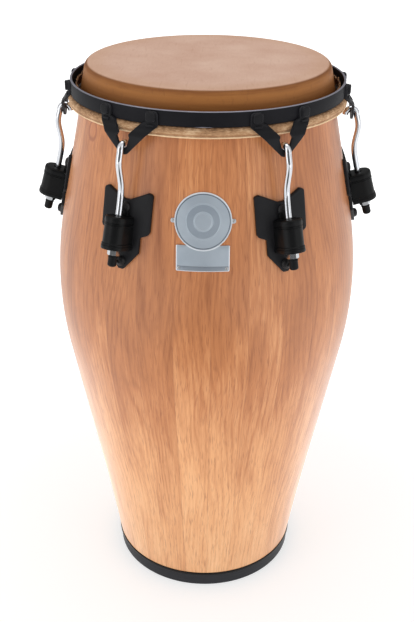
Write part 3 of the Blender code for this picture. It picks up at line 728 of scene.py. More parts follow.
# %% Wrapped roll
RIM_LOW, RIM_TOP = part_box("rim")[0].z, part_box("rim")[1].z
RIM_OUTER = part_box("rim")[1].x
HOOP_LOW, HOOP_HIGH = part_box("flesh_hoop")
WIRE = (HOOP_HIGH.z - HOOP_LOW.z) / 2
ROLL_HEIGHT = (HOOP_HIGH.z + HOOP_LOW.z) / 2
ROLL_MIDDLE = HOOP_HIGH.x - WIRE
ROLL = WIRE + 0.0005 + SKIN
ROLL_LOW, ROLL_TOP = ROLL_HEIGHT - ROLL, ROLL_HEIGHT + ROLL
TAIL_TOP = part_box("skin_tuck")[1].z
TAIL_OUTER = ROLL_MIDDLE - 0.0030
FRAY_LOW = 0.0030         # how much lower the ragged end stands on the whole


def tucked_rawhide():
    hide = Finish("tucked_rawhide", {"Specular IOR Level": 0.25})
    x, y, z = hide.split(hide.place)
    azimuth = hide.maths("ARCTAN2", x, -1 * y)
    twist = hide.combine(azimuth * 9.0, 0.0, z * 700.0)
    threads = hide.clouds(hide.stretch(twist, 4.0, 1.0, 1.0), 4.0, 0.65)
    lumps = hide.specks(70.0, 3.0)
    colour = hide.ramp(threads * 0.6 + lumps * 0.5, [
        (0.34, shade(104, 72, 46)),
        (0.55, shade(160, 124, 90)),
        (0.78, shade(206, 178, 144)),
    ])
    # Painted shade under the rim: the roll's upper part and the ragged end take the dark frayed
    # colour, which on the end is in part the frayed hide's own colour.
    tail = hide.between(z, ROLL_HEIGHT + ROLL * 0.3, ROLL_TOP + 0.003)
    frayed_and_shaded = hide.mix(hide.between(threads, 0.42, 0.62), shade(58, 36, 22), shade(158, 112, 76))
    colour = hide.mix(tail * 0.85, colour, frayed_and_shaded)
    # Painted shade: a darker band where the roll meets the lower ply.
    junction_shade = hide.between(z, ROLL_LOW + 0.0028, ROLL_LOW + 0.0036)
    junction_shade = junction_shade * (1 - hide.between(z, ROLL_LOW + 0.0042, ROLL_LOW + 0.0060))
    colour = hide.mix(junction_shade * 0.60, colour, shade(120, 80, 50))
    cream = 1 - hide.between(z, ROLL_LOW + 0.0020, ROLL_LOW + 0.0030)
    colour = hide.mix(cream * 0.65, colour, shade(214, 186, 150))
    hide.feed("Base Color", colour)
    hide.feed("Roughness", threads * 0.2 + 0.66)
    hide.relief(threads * 0.7 + lumps * 0.3, 0.00045)
    return hide.material


def round_wire(radius, steps):
    """The wrap's line round the wire, from the rim's side under it and up to the tail."""
    return arc((ROLL_MIDDLE, ROLL_HEIGHT), radius, radius, 172, 464, steps)


def wrapped_roll():
    tail = [(TAIL_OUTER, TAIL_TOP - 0.0012), (TAIL_OUTER - SKIN / 2, TAIL_TOP - 0.0006),
            (TAIL_OUTER - SKIN, TAIL_TOP - 0.0012)]
    roll = turn("wrapped_roll", round_wire(ROLL, 22) + tail + round_wire(ROLL - SKIN, 18)[::-1],
                sides=480)
    ply = turn("lower_ply", rounded([
        (ROLL_MIDDLE - 0.0010, ROLL_LOW + 0.0002, 0),
        (ROLL_MIDDLE + 0.0058, ROLL_LOW + 0.0006, 0.0010),
        (ROLL_MIDDLE + 0.0060, ROLL_LOW + 0.0030, 0.0010),
        (ROLL_MIDDLE + 0.0010, ROLL_LOW + 0.0030, 0),
    ]), sides=240)
    roll = join([roll, ply], "wrapped_roll")
    for vert in roll.data.vertices:
        place = vert.co.copy()
        outwards = Vector((place.x, place.y, 0)).normalized()
        swell = noise.noise(place * 55.0) * 0.0003 + noise.noise(place * 240.0) * 0.0002
        above = max(0.0, place.z - ROLL_TOP) / (TAIL_TOP - ROLL_TOP)
        fray = noise.noise(outwards * 34.0) * 0.0016 + noise.noise(outwards * 130.0) * 0.0034
        fray = fray - FRAY_LOW
        lean = noise.noise(outwards * 90.0 + Vector((5, 0, 0))) * 0.0018 - 0.0008
        vert.co = (place + outwards * (swell - abs(swell) * 0.5 + lean * above ** 2)
                   + Vector((0, 0, fray * above ** 2)))
    paint_with(roll, tucked_rawhide())
    return roll


settle(wrapped_roll(), "rim", ["skin_tuck"])

# %% [markdown]
# Hoop wire
# The wire inside the roll is a plain steel ring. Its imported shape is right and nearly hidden, so
# it stays and only gets a finish. Bare steel is a grey mirror, dulled in small spots. The badge's
# nails use the same recipe later.

# %% Hoop wire
def bare_metal(name, fineness, dark, pale, roughness, dulling, depth):
    metal = Finish(name, {"Metallic": 1.0})
    spots = metal.specks(fineness, 3.0)
    metal.feed("Base Color", metal.mix(spots, dark, pale))
    metal.feed("Roughness", spots * dulling + roughness)
    metal.relief(spots, depth)
    return metal.material


def refinish(node, material):
    """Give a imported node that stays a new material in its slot."""
    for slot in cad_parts[node].material_slots:
        slot.material = material


refinish("flesh_hoop", bare_metal("hoop_steel", 180.0, shade(150, 150, 152), shade(188, 186, 182),
                                  0.3, 0.2, 0.00005))
print("hoop wire keeps its packed shape")

# %% [markdown]
# Tension rim
# The rim is a steel band rolled into a hoop, with a softly rounded top edge and black paint. The
# paint has the fine dimples of a sprayed coat; its edges are painted lighter and its top edge is
# painted as bare steel, both as painted highlights.

# %% Tension rim
RIM_PLATE = 0.003
RIM_INNER = RIM_OUTER - RIM_PLATE


def black_paint(name, base, worn, edge_wear_and_highlight, roughness, dimples, highlight_above=None):
    """Sprayed black on metal: dimples, dusty clouds, lighter edges that are part wear and part
    painted highlight, and a painted highlight along the top edge, drawn as bare steel.
    """
    paint = Finish(name, {"Specular IOR Level": 0.12})
    dust = paint.specks(38.0, 4.0, 0.6)
    spray = paint.specks(dimples, 1.0)
    tone = paint.mix(dust * 0.5, base, worn)
    # Lighter edges: part wear, part painted highlight.
    wear_and_highlight = paint.edges() * 0.6
    # Painted highlight along the top edge, drawn as bare steel.
    if highlight_above is not None:
        height = paint.split(paint.place)[2]
        top_highlight = paint.between(height, highlight_above, highlight_above + 0.0008) * (dust * 0.5 + 0.45)
        wear_and_highlight = paint.maths("MAXIMUM", wear_and_highlight, top_highlight)
        paint.feed("Metallic", top_highlight)
    paint.feed("Base Color", paint.mix(wear_and_highlight, tone, edge_wear_and_highlight))
    paint.feed("Roughness", dust * 0.14 + spray * 0.08 + roughness)
    paint.relief(spray, 0.00006)
    return paint.material


def tension_rim():
    section = rounded([
        (RIM_INNER, RIM_LOW, 0.0005),
        (RIM_OUTER, RIM_LOW, 0.0009),
        (RIM_OUTER, RIM_TOP, 0.0014),
        (RIM_INNER, RIM_TOP, 0.0012),
    ], steps=5)
    rim = turn("tension_rim", section)
    # The pale edge colour and the bare top edge are painted highlights.
    paint_with(rim, black_paint(
        "rim_black", shade(12, 12, 15), shade(33, 32, 39), shade(176, 174, 186), 0.40, 700.0,
        highlight_above=RIM_TOP - 0.0012))
    return rim


settle(tension_rim(), "rim", ["rim"])

# %% [markdown]
# Plates bent round the drum
# Brackets, side plates and badge are flat blanks bent to a curve. They are modelled the same
# way: the outline is drawn flat, filled, extruded to its thickness and bevelled, then cut into
# strips with bisect so that it can bend, and last laid round the drum by a formula.

# %% Plates bent round the drum
def blank(name, outline, thickness, bevel, steps=3):
    """A flat plate standing on the drum's front, its face towards the viewer, edges rounded."""
    item = draw(name, [(point[0], 0, point[1]) for point in outline])
    edit(item)
    bpy.ops.mesh.select_all(action="SELECT")
    bpy.ops.mesh.edge_face_add()
    bpy.ops.mesh.extrude_region_move(TRANSFORM_OT_translate={"value": (0, -thickness, 0)})
    front = -thickness + 1e-6
    pick(item, "EDGE", lambda edge: all(vert.co.y < front for vert in edge.verts))
    bpy.ops.mesh.bevel(offset=bevel, segments=steps, affect="EDGES", profile=0.5)
    tidy_mesh()
    return item


def cut_into_strips(item, widths, heights):
    edit(item)
    cuts = [((width, 0, 0), (1, 0, 0)) for width in widths]
    cuts += [((0, 0, height), (0, 0, 1)) for height in heights]
    for point, normal in cuts:
        bpy.ops.mesh.select_all(action="SELECT")
        bpy.ops.mesh.bisect(plane_co=point, plane_no=normal)
    tidy_mesh()


def lay_round(item, radius_at):
    """Bend a blank round the drum: its back face goes to radius_at(height), the rest outside it."""
    for vert in item.data.vertices:
        along, lift, height = vert.co.x, -vert.co.y, vert.co.z
        radius = radius_at(height, lift)
        vert.co = on_circle(radius, along / radius_at(height, 0), height)
    item.data.update()
    smooth(item, 40)


def on_staves(height, lift):
    """Radius of a point that a piece holds this far off the back of a plate on the staves."""
    return shell_radius(height) + (SEAT_GAP + lift) * LEAN


print("plate helpers ready")

# %% [markdown]
# Rim brackets
# Each bracket is a V of steel bar. Its two ears are welded flat on the rim under rounded pads,
# its legs jog out past the roll, and a keyhole slot between them holds the hook.

# %% Rim brackets
BRACKET_PLATE = 0.003
BRACKET_SEAT_DROP = 0.0294
EAR_REACH = 0.0395
EAR_MIDDLE = 0.0318
PAST_ROLL = 0.0014        # the legs' room round the roll
BOW = 0.0052              # how far the legs bow out below it
BOW_DROP = 0.0140         # and how far below the rim they have bowed out in full
PAD_HEIGHT = RIM_LOW + 0.0098
KNOB_HEIGHT = RIM_LOW - 0.0006


def bracket_back(height, lift):
    """The bracket's back: on the rim, jogged out past the roll, bowed out towards the tip."""
    jog_drop = RIM_LOW - ROLL_HEIGHT
    drop = RIM_LOW - height
    jog = min(max(drop / jog_drop, 0), 1)
    bow = min(max((drop - jog_drop) / (BOW_DROP - jog_drop), 0), 1)
    jog = jog * jog * (3 - 2 * jog)
    on_rim = RIM_OUTER + SEAT_GAP
    past_roll = ROLL_MIDDLE + ROLL + PAST_ROLL
    return on_rim + (past_roll - on_rim) * jog + BOW * bow + lift


def bracket_outline():
    half = [
        (0.0045, -0.0365, 0.0020),
        (EAR_REACH, -0.0015, 0.0030),
        (EAR_REACH, 0.0160, 0.0045),
        (0.0245, 0.0160, 0.0045),
        (0.0245, 0.0030, 0.0015),
        (0.0185, 0.0004, 0.0020),
        (0.0070, -0.0120, 0.0008),
        (0.0088, -0.0158, 0.0012),
        (0.0050, -0.0270, 0.0010),
    ]
    half = [(along, RIM_LOW + height, radius) for along, height, radius in half]
    seat = [(0, RIM_LOW - BRACKET_SEAT_DROP, 0)]
    tip = [(0, RIM_LOW - 0.0375, 0)]
    return rounded(tip + half + seat + mirrored(half))


def ear_pad(side, along, height, width, tall, proud):
    """A pillow-shaped pad on an ear."""
    azimuth = side * along / RIM_OUTER
    pad = begin_with(bpy.ops.mesh.primitive_cube_add, size=1)
    pad.data.transform(Matrix.Diagonal((width, 2 * proud, tall, 1)))
    edit(pad)
    pick(pad, "EDGE", lambda edge: abs(edge.verts[0].co.y - edge.verts[1].co.y) > proud)
    bpy.ops.mesh.bevel(offset=min(width, tall) * 0.34, segments=5, affect="EDGES")
    pick(pad, "EDGE", lambda edge: all(vert.co.y < -proud * 0.99 for vert in edge.verts))
    bpy.ops.mesh.bevel(offset=proud * 0.45, segments=4, affect="EDGES")
    tidy_mesh()
    radius = bracket_back(height, BRACKET_PLATE)
    pad.data.transform(Matrix.Rotation(azimuth, 4, "Z")
                       @ Matrix.Translation((0, -radius, height)))
    smooth(pad, 40)
    return pad


def rim_bracket():
    item = blank("rim_bracket", bracket_outline(), BRACKET_PLATE, 0.0006, steps=2)
    heights = spread(ROLL_HEIGHT, RIM_LOW, 5) + spread(RIM_LOW - BOW_DROP, ROLL_HEIGHT, 3)
    cut_into_strips(item, spread(-EAR_REACH, EAR_REACH, 18), heights)
    lay_round(item, bracket_back)
    pads = [ear_pad(side, EAR_MIDDLE, PAD_HEIGHT, 0.0112, 0.0118, 0.0034) for side in (-1, 1)]
    knobs = [ear_pad(side, EAR_MIDDLE - 0.0010, KNOB_HEIGHT, 0.0092, 0.0034, 0.0020)
             for side in (-1, 1)]
    return join([item] + pads + knobs, "ear_bracket")


bracket = rim_bracket()
paint_with(bracket, black_paint("bracket_black", shade(16, 16, 18), shade(34, 34, 38),
                                shade(62, 62, 66), 0.34, 900.0))
copies_round(bracket, "ear_bracket", "rim", ["rim_bracket"])

# %% [markdown]
# A frame along the rods
# Everything on a tuning rod lines up with the rod's tilted axis, so it is modelled upright at the
# origin, with Y pointing in to the drum, and then set on the axis by one matrix.

# %% A frame along the rods
ROD_RADIUS = 0.004
ROD_TILT = math.radians(16.5)
BLOCK_TOP = TOTAL_HEIGHT - 0.148
BLOCK_LENGTH = 0.0405
NUT_HEIGHT = 0.008
ROD_END = -BLOCK_LENGTH - NUT_HEIGHT - 0.0099
ROD_RADIAL = shell_radius(BLOCK_TOP) + 0.0176
ROD_MATRIX = (Matrix.Translation(on_circle(ROD_RADIAL, 0, BLOCK_TOP))
              @ Matrix.Rotation(-ROD_TILT, 4, "X"))


def from_rod(inwards, along):
    """A point beside the rod's axis, as (radius, height)."""
    place = ROD_MATRIX @ Vector((0, inwards, along))
    return -place.y, place.z


def to_rod(radius, height):
    """A (radius, height) point as (inwards, along) beside the rod's axis."""
    place = ROD_MATRIX.inverted() @ Vector((0, -radius, height))
    return place.y, place.z


print("rod axis", round(ROD_RADIAL * 1000, 1), "mm from the drum's axis at the lug's top")

# %% [markdown]
# Tuning rods
# A rod is bent from chromed steel: a hook over the bracket, a gentle wave down the side and a
# straight threaded end. Its middle line is drawn through a few points with a smooth curve, and
# a curve's round bevel gives it its thickness. The thread is turned as close rings, which look
# the same as a screw's turns at this size, and is made one with the rod.

# %% Tuning rods
HOOK_RADIUS = 0.0074
RIM_TRAVEL = 0.006
HOOK_MIDDLE = bracket_back(RIM_LOW - BRACKET_SEAT_DROP, BRACKET_PLATE / 2)
HOOK_MIDDLE -= RIM_TRAVEL * math.tan(ROD_TILT) / 2
HOOK_REACH = (BRACKET_PLATE + RIM_TRAVEL * math.tan(ROD_TILT)) / 2
HOOK_RISE = math.sqrt((HOOK_RADIUS - ROD_RADIUS - SEAT_GAP) ** 2 - HOOK_REACH ** 2)
HOOK_CENTRE = RIM_LOW - BRACKET_SEAT_DROP - HOOK_RISE
THREAD_PITCH = 0.00125
THREAD_DEPTH = 0.0006
THREAD_TURNS = 22
THREAD_TOP = ROD_END + THREAD_PITCH * THREAD_TURNS


def smooth_through(points, steps):
    """Points on a curve through the given ones, without its first and last spans."""
    curve = []
    for before, start, end, after in zip(points, points[1:], points[2:], points[3:]):
        for step in range(steps):
            t = step / steps
            curve.append(tuple(0.5 * (2 * s + (e - b) * t + (2 * b - 5 * s + 4 * e - a) * t ** 2
                                      + (3 * s - b - 3 * e + a) * t ** 3)
                               for b, s, e, a in zip(before, start, end, after)))
    return curve + [points[-2]]


def chrome(name, base, roughness):
    """Plating: a mirror with faint waves, fine polishing marks and a few dull spots."""
    plating = Finish(name, {"Metallic": 1.0})
    haze = plating.specks((90.0, 90.0, 30.0), 3.0)
    marks = plating.specks((1400.0, 1400.0, 160.0))
    plating.feed("Base Color", plating.mix(haze * 0.35, base, shade(176, 180, 188)))
    plating.feed("Roughness", haze * 0.06 + marks * 0.05 + roughness)
    plating.relief(haze * 0.7 + marks * 0.3, 0.00003)
    return plating.material


def rod_line():
    """The rod's middle line as (inwards, along) points, from the hook's tip down."""
    bend_line = arc((HOOK_MIDDLE, HOOK_CENTRE), HOOK_RADIUS, HOOK_RADIUS, 180, 0, 16)[:-1]
    leg = HOOK_MIDDLE + HOOK_RADIUS
    wave = smooth_through([
        bend_line[-1],
        (leg, HOOK_CENTRE),
        (leg + 0.0034, HOOK_CENTRE - 0.0170),
        (leg + 0.0002, HOOK_CENTRE - 0.0440),
        from_rod(0, 0.0090),
        from_rod(0, 0),
    ], 10)
    line = [to_rod(*point) for point in bend_line + wave]
    return line + [(0, THREAD_TOP - 0.0002)]


def rod_thread():
    """The threaded end: a ridge for each turn."""
    root = ROD_RADIUS - THREAD_DEPTH
    section = [(0, ROD_END)]
    for step in range(THREAD_TURNS):
        low = ROD_END + THREAD_PITCH * step
        section += [(root, low), (ROD_RADIUS, low + THREAD_PITCH * 0.42),
                    (ROD_RADIUS, low + THREAD_PITCH * 0.58)]
    return turn("thread", section + [(root, THREAD_TOP), (0, THREAD_TOP)], sides=32)


def tuning_rod():
    rod = draw("tuning_rod", [(0, inwards, along) for inwards, along in rod_line()], closed=False)
    select_only(rod)
    bpy.ops.object.convert(target="CURVE")
    rod = bpy.context.object
    rod.data.bevel_depth = ROD_RADIUS
    rod.data.bevel_resolution = 8
    rod.data.use_fill_caps = True
    bpy.ops.object.convert(target="MESH")
    rod = bpy.context.object
    edit(rod)
    bpy.ops.mesh.select_all(action="SELECT")
    bpy.ops.mesh.remove_doubles(threshold=1e-6)
    pick(rod, "FACE", lambda face: len(face.verts) > 8)
    bpy.ops.mesh.bevel(offset=0.0009, segments=3, affect="EDGES")
    tidy_mesh()
    cut_with(rod, rod_thread(), "UNION")
    rod.data.transform(ROD_MATRIX)
    smooth(rod, 40)
    paint_with(rod, chrome("rod_chrome", shade(232, 234, 238), 0.035))
    return rod


copies_round(tuning_rod(), "tuning_rod", "hook_{}", ["tuning_hook"])

# %% [markdown]
# Nuts
# A hexagon nut is a six-sided bar whose corners are turned off by a cone at both ends. That is
# also the easiest way to model it: the bar is intersected with a turned body, and the bore is
# cut out of the result.

# %% Nuts
NUT_FLATS = 0.013
NUT_TOP = -BLOCK_LENGTH - SEAT_GAP
NUT_LOW = NUT_TOP - NUT_HEIGHT + 2 * SEAT_GAP
THREAD_BORE = ROD_RADIUS + 0.00035


def tuning_nut():
    corner = NUT_FLATS / 2 / math.cos(math.pi / 6)
    flat = NUT_FLATS / 2
    nut = begin_with(bpy.ops.mesh.primitive_cylinder_add, vertices=6, radius=corner,
                     depth=NUT_TOP - NUT_LOW)
    nut.name = "tuning_nut"
    nut.data.transform(Matrix.Translation((0, 0, (NUT_TOP + NUT_LOW) / 2)))
    land = flat * 0.94
    chamfer = (corner - land) * 0.6
    outside = corner + 0.0001
    cut_with(nut, turn("chamfer", [
        (0, NUT_LOW), (land, NUT_LOW), (outside, NUT_LOW + chamfer),
        (outside, NUT_TOP - chamfer), (land, NUT_TOP), (0, NUT_TOP)], sides=48), "INTERSECT")
    low, high = NUT_LOW - THREAD_BORE, NUT_TOP + THREAD_BORE
    cut_with(nut, turn("bore", [(0, low), (THREAD_BORE, low), (THREAD_BORE, high), (0, high)],
                       sides=32), "DIFFERENCE")
    nut.data.transform(ROD_MATRIX)
    smooth(nut, 30)
    paint_with(nut, chrome("nut_chrome", shade(218, 220, 222), 0.12))
    return nut


copies_round(tuning_nut(), "hex_nut", "nut_{}", ["tuning_nut"])

# %% [markdown]
# Thread caps
# A soft black cap covers the sharp end of each thread. It is turned with a small bead at its
# mouth and a domed end.

# %% Thread caps
CAP_TOP = -BLOCK_LENGTH - NUT_HEIGHT - SEAT_GAP
CAP_FLOOR = CAP_TOP - 0.0101
CAP_LOW = CAP_TOP - 0.0135
CAP_RADIUS = 0.0055
CAP_BEAD = CAP_RADIUS + 0.0004


def black_plastic(name, base, bloom, roughness):
    """Moulded black: a fine grain, a cloudy bloom and slightly shiny edges."""
    plastic = Finish(name, {"Specular IOR Level": 0.16})
    cloudy = plastic.specks(55.0, 4.0, 0.6)
    plastic.feed("Base Color", plastic.mix(cloudy * 0.6, base, bloom))
    plastic.feed("Roughness", cloudy * 0.12 + roughness - plastic.edges() * 0.10)
    plastic.relief(plastic.specks(1500.0), 0.00005)
    return plastic.material


def thread_cap():
    section = rounded([
        (THREAD_BORE, CAP_TOP, 0.0003),
        (THREAD_BORE, CAP_FLOOR, 0),
        (0, CAP_FLOOR, 0),
        (0, CAP_LOW, 0),
        (CAP_RADIUS, CAP_LOW, 0.0030),
        (CAP_RADIUS, CAP_TOP - 0.0030, 0.0004),
        (CAP_BEAD, CAP_TOP - 0.0026, 0.0004),
        (CAP_BEAD, CAP_TOP, 0.0008),
    ], steps=5)
    cap = turn("thread_cap", section, sides=48)
    cap.data.transform(ROD_MATRIX)
    paint_with(cap, black_plastic("cap_black", shade(11, 11, 12), shade(24, 24, 26), 0.46))
    return cap


copies_round(thread_cap(), "rod_cap", "hook_{}", ["thread_cap"])

# %% [markdown]
# Lug blocks
# A lug is a moulded sleeve, round in front and square at its root on the plate. Its D outline is
# drawn once and extruded level by level, each level widened or narrowed: a domed lip, three fine
# ribs, the waist, and a stepped flare at the bottom. The root is then moved to meet the plate.

# %% Lug blocks
BLOCK_BODY = 0.0130
BLOCK_SET_OUT = 0.0033
BLOCK_WIDEN = 1.05
LIP_ROUND = 0.0026
PLATE_THICKNESS = 0.004
BLOCK_BORE = ROD_RADIUS + 0.0006
TONGUE_HALF = 0.0062
TONGUE_RISE = 0.0105
TONGUE_PLATE = 0.0026


def root_reach(along):
    """How far the root reaches in from the rod's axis to the plate, at a place along the rod."""
    inwards = 0.0
    for _ in range(12):
        radius, height = from_rod(inwards, along)
        inwards += radius - on_staves(height, PLATE_THICKNESS) - SEAT_GAP
    return inwards


def lug_levels():
    """(along, radius) of each level, from the top down."""
    dome = arc((-LIP_ROUND, 0.0108), LIP_ROUND, LIP_ROUND, 0, 90, 6)
    ribs = []
    for rib in range(3):
        low = -0.0066 - 0.0019 * rib
        ribs += [(low, 0.01345), (low - 0.0008, 0.01345), (low - 0.0011, BLOCK_BODY),
                 (low - 0.0016, BLOCK_BODY)]
    flare = [(-0.0325, BLOCK_BODY), (-0.0334, 0.01375), (-0.0352, 0.01385), (-0.0356, 0.01355),
             (-0.0362, 0.01400), (-0.0392, 0.01408), (-0.0402, 0.01370), (-BLOCK_LENGTH, 0.01280)]
    return dome + [(-0.0052, 0.01370), (-0.0060, 0.01350)] + ribs + flare


def lug_outline(radius):
    """D outline: an arc round the front, and two straight sides back to the root."""
    wide = radius * BLOCK_WIDEN
    front = arc((0, -BLOCK_SET_OUT), wide, -radius, 0, 180, 24)
    return [(wide, 0.004)] + front + [(-wide, 0.004)]


def lug_block():
    levels = lug_levels()
    outline = lug_outline(levels[0][1])
    item = draw("lug_block", [(x, y, levels[0][0]) for x, y in outline])
    edit(item)
    bpy.ops.mesh.select_all(action="SELECT")
    bpy.ops.mesh.edge_face_add()
    for before, after in zip(levels, levels[1:]):
        bpy.ops.mesh.extrude_region_move(
            TRANSFORM_OT_translate={"value": (0, 0, after[0] - before[0])})
        widen = after[1] / before[1]
        bpy.ops.transform.resize(value=(widen, widen, 1), center_override=(0, -BLOCK_SET_OUT, 0))
    tidy_mesh()
    for vert in item.data.vertices:
        if vert.co.y > 0.001:
            vert.co.y = root_reach(vert.co.z)
    mouth = BLOCK_BORE + 0.0012
    cut_with(item, turn("bore", [
        (0, 0.01), (0, -0.06), (BLOCK_BORE, -0.06), (BLOCK_BORE, -0.0008),
        (mouth, 0.0004), (mouth, 0.01)], sides=32), "DIFFERENCE")
    return item


def lug_tongue():
    """The thin wall that stands up behind the rod, between the lug and its plate."""
    root = root_reach(0) - 0.0002
    half = [(TONGUE_HALF, -0.012, 0), (TONGUE_HALF, TONGUE_RISE * 0.5, 0.002),
            (TONGUE_HALF * 0.45, TONGUE_RISE, 0.0024)]
    item = blank("lug_tongue", rounded(half + mirrored(half)), TONGUE_PLATE, 0.0007)
    for vert in item.data.vertices:
        vert.co.y += min(root_reach(vert.co.z), root) - 0.0004
    return item


lug = join([lug_block(), lug_tongue()], "lug")
lug.data.transform(ROD_MATRIX)
smooth(lug, 32)
paint_with(lug, black_plastic("block_black", shade(8, 9, 9), shade(21, 21, 23), 0.32))
copies_round(lug, "lug", "drum", ["lug_block"])

# %% [markdown]
# Side plates
# The plate spreads the pull of a rod over more than one stave. It has the shape of a shield with
# a notch at the top, and the edge of its face is rounded all along.

# %% Side plates
PLATE_HALF = 0.0348


def below_top(drop):
    return TOTAL_HEIGHT - drop


def plate_outline():
    half = [
        (0.0035, below_top(0.2172), 0.0022),
        (0.0226, below_top(0.1950), 0.0030),
        (0.0226, below_top(0.1755), 0.0018),
        (0.0330, below_top(0.1708), 0.0016),
        (PLATE_HALF, below_top(0.1680), 0.0016),
        (PLATE_HALF, below_top(0.1228), 0.0034),
        (0.0285, below_top(0.1212), 0.0030),
        (0.0040, below_top(0.1322), 0.0040),
    ]
    return rounded(half + mirrored(half))


def side_plate():
    plate = blank("side_plate", plate_outline(), PLATE_THICKNESS, 0.0011)
    heights = spread(below_top(0.215), BELLY_HEIGHT + BELLY_BEND / 2, 3) + [below_top(0.17)]
    cut_into_strips(plate, spread(-PLATE_HALF, PLATE_HALF, 16), heights)
    lay_round(plate, on_staves)
    paint_with(plate, black_plastic("plate_black", shade(20, 20, 22), shade(36, 36, 39), 0.40))
    return plate


copies_round(side_plate(), "shield_plate", "drum", ["side_plate"])

# %% [markdown]
# Plate bolts
# Two bolts go through each plate and the staves, with a washer and nut inside the shell. The
# head is a low dome with a hexagon socket. It is turned, and the socket is cut with a six-sided
# bar.

# %% Plate bolts
BOLT_HEAD = 0.0062
BOLT_SHANK = 0.003
BOLT_NUT = 0.0052
SOCKET_RADIUS = 0.0025
SOCKET_DEPTH = 0.002
NUT_FACE = 0.0006         # inside the shell, from the washer's seat to the nut's near face,
NUT_BACK = 0.0045         # to its far face
BOLT_END = 0.0070         # and to the bolt's end


def bolt_metal():
    metal = Finish("bolt_black", {"Metallic": 0.15, "Specular IOR Level": 0.3})
    stain = metal.specks(160.0, 3.0)
    colour = metal.mix(stain, shade(18, 18, 19), shade(38, 36, 37))
    # Lighter edges: a painted highlight.
    metal.feed("Base Color", metal.mix(metal.edges() * 0.5, colour, shade(92, 90, 90)))
    metal.feed("Roughness", stain * 0.18 + 0.28)
    metal.relief(stain, 0.00006)
    return metal.material


def plate_bolt(height, head, name):
    seat = PLATE_THICKNESS + 2 * SEAT_GAP
    inside = -WALL / LEAN - 0.0008
    section = [
        (0, inside - BOLT_END), (BOLT_SHANK, inside - BOLT_END), (BOLT_SHANK, inside - NUT_BACK),
        (BOLT_NUT, inside - NUT_BACK), (BOLT_NUT, inside - NUT_FACE),
        (BOLT_HEAD, inside - NUT_FACE), (BOLT_HEAD, inside), (BOLT_SHANK, inside),
        (BOLT_SHANK, seat), (BOLT_HEAD, seat)]
    dome = arc((0, seat + head * 0.25), BOLT_HEAD, head * 0.75, 0, 90, 8)
    bolt = turn(name, section + dome, sides=36)
    socket = begin_with(bpy.ops.mesh.primitive_cylinder_add, vertices=6, radius=SOCKET_RADIUS,
                        depth=2 * SOCKET_DEPTH, location=(0, 0, seat + head))
    cut_with(bolt, socket, "DIFFERENCE")
    bolt.data.transform(surface_matrix(0, height))
    smooth(bolt, 35)
    paint_with(bolt, BOLT_METAL)
    return bolt


BOLT_METAL = bolt_metal()
for kind, drop, head_height in (("upper_bolt", 0.1420, 0.0042), ("lower_bolt", 0.2078, 0.0050)):
    bolt = plate_bolt(below_top(drop), head_height, kind)
    copies_round(bolt, f"dome_{kind}", "drum", [kind])

# %% [markdown]
# Badge
# A thin aluminium badge is nailed to the front: a disc on a tag, with a small eye at each side.
# The disc is turned, with two plain raised rings and a groove, and the tag has a plain darker
# strip along its foot. The parts are made one while flat, then bent to the staves together.

# %% Badge
BADGE = 0.0012
DISC_RADIUS = 0.0345
DISC_MIDDLE = below_top(0.1494)
TAG_HALF = 0.0323
TAG_TOP, TAG_LOW = below_top(0.1780), below_top(0.2090)
STRIP_TOP = TAG_LOW + 0.0066
EYE_REACH = 0.0391
EYE_HALF = 0.0026
STRIP_HALF = TAG_HALF - 0.006
DISC_SIDES = 128
RINGS = (0.0110, 0.0210)
GROOVE = 0.0322
BADGE_CUTS = 0.036        # the strips that let the badge bend reach this far to each side


def badge_outline(metal, x, z, reach):
    """1 along the disc's bead and the tag's sides and foot, where a bright line is painted as a
    highlight.
    """
    bead = metal.between(reach, DISC_RADIUS - 0.0014, DISC_RADIUS - 0.0010)
    bead = bead * (1 - metal.between(reach, DISC_RADIUS + 0.0002, DISC_RADIUS + 0.0006))
    side = metal.between(metal.maths("ABSOLUTE", x), TAG_HALF - 0.0014, TAG_HALF - 0.0009)
    side = side * (1 - metal.between(z, TAG_TOP, TAG_TOP + 0.0004))
    foot = 1 - metal.between(z, TAG_LOW + 0.0007, TAG_LOW + 0.0011)
    return metal.maths("MAXIMUM", metal.maths("MAXIMUM", bead, side), foot)


def badge_metal():
    metal = Finish("badge_metal", {"Metallic": 0.62, "Specular IOR Level": 0.5})
    x, _, z = metal.split(metal.place)
    brushed = metal.specks((60.0, 60.0, 3200.0), 3.0, 0.6)
    patches = metal.specks(34.0, 3.0)
    colour = metal.mix(patches, shade(166, 178, 190), shade(196, 206, 215))
    height = z - DISC_MIDDLE
    reach = metal.maths("SQRT", x * x + height * height)
    band = metal.between(reach, RINGS[0] + 0.0008, RINGS[0] + 0.0012)
    band = band * (1 - metal.between(reach, RINGS[1] - 0.0012, RINGS[1] - 0.0008))
    # Painted shade: the groove ring is darkened.
    groove_shade = 1 - metal.between(metal.maths("ABSOLUTE", reach - GROOVE), 0.0003, 0.0009)
    strip = 1 - metal.between(z, STRIP_TOP - 0.0003, STRIP_TOP)
    colour = metal.mix(band * 0.45, colour, shade(128, 140, 154))
    colour = metal.mix(strip * 0.55, colour, shade(112, 118, 128))
    colour = metal.mix(groove_shade * 0.75, colour, shade(70, 78, 90))
    # Painted highlight: a bright line along the disc's bead and the tag's sides and foot.
    metal.feed("Base Color", metal.mix(badge_outline(metal, x, z, reach) * 0.85, colour,
                                       shade(244, 247, 252)))
    metal.feed("Roughness", brushed * 0.14 + patches * 0.08 + 0.24)
    metal.relief(brushed, 0.00003)
    return metal.material


